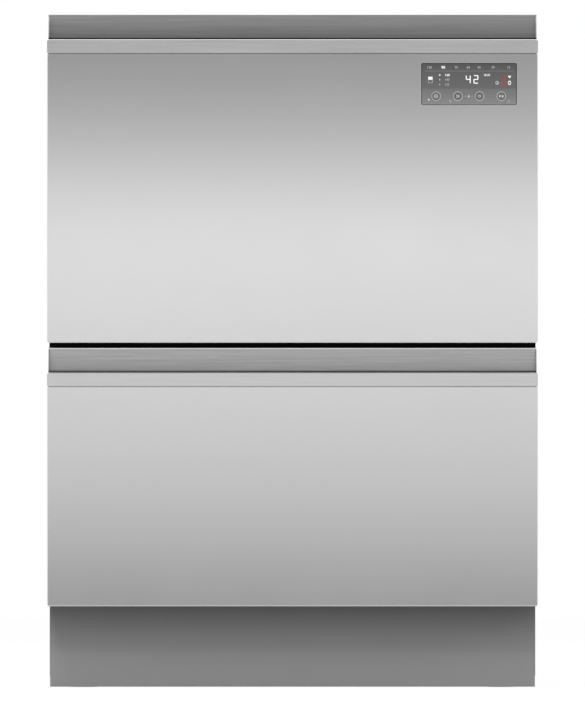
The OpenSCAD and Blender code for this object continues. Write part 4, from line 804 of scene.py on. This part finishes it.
finishPiece(litParts(), "litMarks", lampMark("litWhiteMark"), "upper_drawer")
finishPiece(printedParts(), "printedMarks", mouldedPlastic("printedGreyMark"), "upper_drawer")
line = bar(column["line"], row["line"], marks["lineLong"], marks["lineThick"])
finishPiece([line], "programLine", mouldedPlastic("printedFaintMark"), "upper_drawer")
finishPiece(redParts(), "redLampMarks", lampMark("litRedMark"), "upper_drawer")
rings = [ring(across, down, marks["ringR"], marks["ringW"]) for across, down in buttonPlaces.values()]
finishPiece(rings, "buttonRings", mouldedPlastic("printedRingMark"), "upper_drawer")
symbolMark = mouldedPlastic("printedPaleSymbol")
for buttonName, (across, down) in buttonPlaces.items():
    finishPiece(symbolParts(buttonName, across, down), buttonName.replace("_button", "Symbol"), symbolMark,
                buttonName)
print("control marks ready")


# pushes what is selected out by this many millimetres
def extrude(direction, depth):
    move = tuple(depth * mm * part for part in direction)
    bpy.ops.mesh.extrude_region_move(TRANSFORM_OT_translate={"value": move})


# turns all faces of the shape in hand outwards, and leaves edit mode
def closeShape():
    bpy.ops.mesh.select_all(action="SELECT")
    bpy.ops.mesh.normals_make_consistent(inside=False)
    bpy.ops.object.mode_set(mode="OBJECT")


# the rings that lie on the front round the window: how far each reaches past the window, its width, its
# thickness and how far it lies in front of the window's face
windowRings = {
    "windowFrame": {"grow": 0.75, "wide": 0.6, "thick": 0.1, "raised": 0.21},
    "windowGasket": {"grow": 0.1, "wide": 0.75, "thick": 0.06, "raised": 0.0},
}
windowCorner = {"radius": 2.0, "segments": 6}


# rounded frame round the window: a flat ring, out from one outline and in to another
def windowRing(name, material):
    size = windowRings[name]
    width, height = windowHigh.x - windowLow.x, windowHigh.z - windowLow.z
    middle = ((windowLow.x + windowHigh.x) / 2, windowLow.y - size["raised"] * mm,
              (windowLow.z + windowHigh.z) / 2)
    bpy.ops.mesh.primitive_plane_add(size=1, location=middle, rotation=(math.radians(90), 0, 0))
    made = bpy.context.object
    made.scale = (width + 2 * size["grow"] * mm, height + 2 * size["grow"] * mm, 1)
    bpy.ops.object.transform_apply(location=False, rotation=False, scale=True)
    bpy.ops.object.mode_set(mode="EDIT")
    bpy.ops.mesh.select_all(action="SELECT")
    bpy.ops.mesh.bevel(offset=(windowCorner["radius"] + size["grow"]) * mm, segments=windowCorner["segments"],
                       affect="VERTICES")
    bpy.ops.mesh.select_all(action="SELECT")
    bpy.ops.mesh.inset(thickness=size["wide"] * mm, depth=0)
    bpy.ops.mesh.delete(type="FACE")
    bpy.ops.mesh.select_all(action="SELECT")
    extrude((0, -1, 0), size["thick"])
    closeShape()
    finishPiece([made], name, material, "upper_drawer")


windowRing("windowFrame", brushedMetal("polishedFrameSteel"))
windowRing("windowGasket", nodes["control_module"].data.materials[0])
print("window frame ready")


# the ways that a small piece can look, and the turn that brings its top there
facing = {
    "up": ((0, 0, 1), (0, 0, 0)),
    "back": ((0, 1, 0), (math.radians(-90), 0, 0)),
    "left": ((-1, 0, 0), (0, math.radians(-90), 0)),
    "right": ((1, 0, 0), (0, math.radians(90), 0)),
}
pick = {
    "cosine": 0.9,          # of the angle between a picked face's normal and that way
    "level": 0.01,          # how far in mm a picked face may lie behind the furthest one
}


# selects the faces of a fresh shape that look one way and lie furthest that way, and enters edit mode
def pickFaces(shape, direction):
    way = Vector(direction)
    faces = shape.data.polygons
    reach = max((face.center.dot(way) for face in faces if face.normal.dot(way) > pick["cosine"]), default=0)
    bpy.ops.object.mode_set(mode="EDIT")
    bpy.ops.mesh.select_mode(type="FACE")
    bpy.ops.mesh.select_all(action="DESELECT")
    bpy.ops.object.mode_set(mode="OBJECT")
    for face in shape.data.polygons:
        farthest = face.center.dot(way) > reach - pick["level"] * mm
        face.select = farthest and face.normal.dot(way) > pick["cosine"]
    bpy.ops.object.mode_set(mode="EDIT")


# a sunk middle: the face that looks this way is inset and then pressed in
def sinkMiddle(shape, direction, size):
    pickFaces(shape, direction)
    bpy.ops.mesh.inset(thickness=size["border"] * mm, depth=0)
    extrude(direction, -size["sunk"])
    closeShape()


# a thin sheet with round corners and a sunk middle
def roundSheet(middle, looks, wide, high, size):
    direction, turn = facing[looks]
    bpy.ops.object.select_all(action="DESELECT")
    bpy.ops.mesh.primitive_plane_add(size=1, location=middle, rotation=turn)
    made = bpy.context.object
    made.scale = (wide * mm, high * mm, 1)
    bpy.ops.object.transform_apply(location=True, rotation=True, scale=True)
    bpy.ops.object.mode_set(mode="EDIT")
    bpy.ops.mesh.select_all(action="SELECT")
    bpy.ops.mesh.bevel(offset=size["corner"] * mm, segments=5, affect="VERTICES")
    bpy.ops.mesh.select_all(action="SELECT")
    extrude(direction, size["thick"])
    closeShape()
    sinkMiddle(made, direction, size)
    return made


# a round button of metal or plastic with a sunk middle
def roundStud(middle, looks, size, sides=20):
    direction, turn = facing[looks]
    bpy.ops.object.select_all(action="DESELECT")
    bpy.ops.mesh.primitive_cylinder_add(vertices=sides, radius=size["radius"] * mm, depth=size["thick"] * mm,
                                        location=middle, rotation=turn)
    made = bpy.context.object
    bpy.ops.object.transform_apply(location=True, rotation=True, scale=True)
    sinkMiddle(made, direction, size)
    return made


# copies with a mesh of their own, each moved by one of the shifts
def copies(shape, shifts):
    made = []
    for shift in shifts:
        bpy.ops.object.select_all(action="DESELECT")
        shape.select_set(True)
        bpy.context.view_layer.objects.active = shape
        bpy.ops.object.duplicate()
        twin = bpy.context.object
        twin.location = Vector(shift) * mm
        made.append(twin)
    return made


# blank plate riveted to the back, where such a machine carries its data
ratingPlate = {"wide": 96, "high": 58, "thick": 0.5, "corner": 4, "border": 3, "sunk": 0.15, "across": -150,
               "up": 250}
rivet = {"radius": 2.2, "thick": 0.5, "border": 0.7, "sunk": 0.15, "inward": 6.5}


def makeRatingPlate():
    size = ratingPlate
    low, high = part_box("back_panel")
    x, y, z = size["across"] * mm, high.y, low.z + size["up"] * mm
    sheet = roundSheet((x, y, z), "back", size["wide"], size["high"], size)
    halfX, halfZ = size["wide"] / 2 - rivet["inward"], size["high"] / 2 - rivet["inward"]
    rivetY = y + (size["thick"] + rivet["thick"] / 2 - size["sunk"]) * mm
    first = roundStud((x - halfX * mm, rivetY, z - halfZ * mm), "back", rivet)
    others = copies(first, [(2 * halfX, 0, 0), (0, 0, 2 * halfZ), (2 * halfX, 0, 2 * halfZ)])
    finishPiece([sheet, first] + others, "ratingPlate", brushedMetal("anodisedAluminiumPlate"), "cabinet")


# bitumen pads that quieten the tubs' side walls, below the runners
tubPad = {"long": 330, "thick": 1.5, "corner": 12, "border": 9, "sunk": 0.5, "rim": 3, "aboveFloor": 24,
          "belowRail": 14}


def makeTubPads(drawer, material):
    size = tubPad
    low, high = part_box(drawer + "_tub")
    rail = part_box(drawer + "_runner_inner_rails")[0].z
    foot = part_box(drawer + "_filter_plate")[0].z + size["aboveFloor"] * mm
    tall = (rail - foot) / mm - size["belowRail"]
    y, z = (low.y + high.y) / 2, foot + tall / 2 * mm
    for side, looks in ((-1, "left"), (1, "right")):
        pad = roundSheet((side * (high.x - size["rim"] * mm), y, z), looks, tall, size["long"], size)
        finishPiece([pad], drawer + "TubPad" + looks.capitalize(), material, drawer + "_drawer")


# nozzle inserts pressed into the spray arm's blades
sprayJet = {"radius": 3.9, "thick": 0.9, "border": 1.5, "sunk": 0.6, "bladeTop": 12, "fromTip": 18,
            "pitch": 35, "aside": 2, "perBlade": 5}


def makeSprayJets(drawer, material):
    size = sprayJet
    low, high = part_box(drawer + "_spray_arm")
    y, z = (low.y + high.y) / 2, low.z + (size["bladeTop"] + size["thick"] / 2) * mm
    reach = high.x / mm - size["fromTip"]
    first = roundStud((reach * mm, y - size["aside"] * mm, z), "up", size)
    shifts = [(-n * size["pitch"], 0, 0) for n in range(1, size["perBlade"])]
    shifts += [(-2 * reach + n * size["pitch"], 2 * size["aside"], 0) for n in range(size["perBlade"])]
    finishPiece([first] + copies(first, shifts), drawer + "SprayJets", material, drawer + "_spray")


# sight glass on the dispenser, which shows how much rinse aid is left
rinseSight = {"radius": 5.2, "thick": 1.6, "border": 1.2, "sunk": 0.9, "inward": 11, "faceOff": 18,
              "lensR": 3.8, "lensRise": 0.55, "sides": 28, "smoothUpTo": 40}


def makeRinseSight(drawer, bezelMaterial, lensMaterial):
    size = rinseSight
    low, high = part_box(drawer + "_dispenser")
    x, y, z = high.x - size["inward"] * mm, low.y + size["faceOff"] * mm, (low.z + high.z) / 2
    bezel = roundStud((x, y + size["thick"] / 2 * mm, z), "back", size, size["sides"])
    finishPiece([bezel], drawer + "RinseSightBezel", bezelMaterial, drawer + "_drawer")
    seat = y + (size["thick"] - size["sunk"]) * mm
    bpy.ops.mesh.primitive_uv_sphere_add(segments=24, ring_count=12, radius=size["lensR"] * mm,
                                         location=(x, seat, z))
    lens = bpy.context.object
    lens.scale = (1, size["lensRise"], 1)
    bpy.ops.object.transform_apply(location=True, rotation=True, scale=True)
    bpy.ops.object.mode_set(mode="EDIT")
    bpy.ops.mesh.select_all(action="SELECT")
    bpy.ops.mesh.bisect(plane_co=(x, seat, z), plane_no=(0, 1, 0), clear_inner=True, use_fill=True)
    closeShape()
    bpy.ops.object.shade_smooth_by_angle(angle=math.radians(size["smoothUpTo"]))
    finishPiece([lens], drawer + "RinseSightLens", lensMaterial, drawer + "_drawer")


makeRatingPlate()
bitumen = mouldedPlastic("pressedBitumenPad")
jetPlastic = mouldedPlastic("jetAcetal")
bezelPlastic = mouldedPlastic("bezelMoulding")
lensPlastic = mouldedPlastic("tintedLensAcrylic")
for drawer in drawers:
    makeTubPads(drawer, bitumen)
    makeSprayJets(drawer, jetPlastic)
    makeRinseSight(drawer, bezelPlastic, lensPlastic)
print("small details ready")
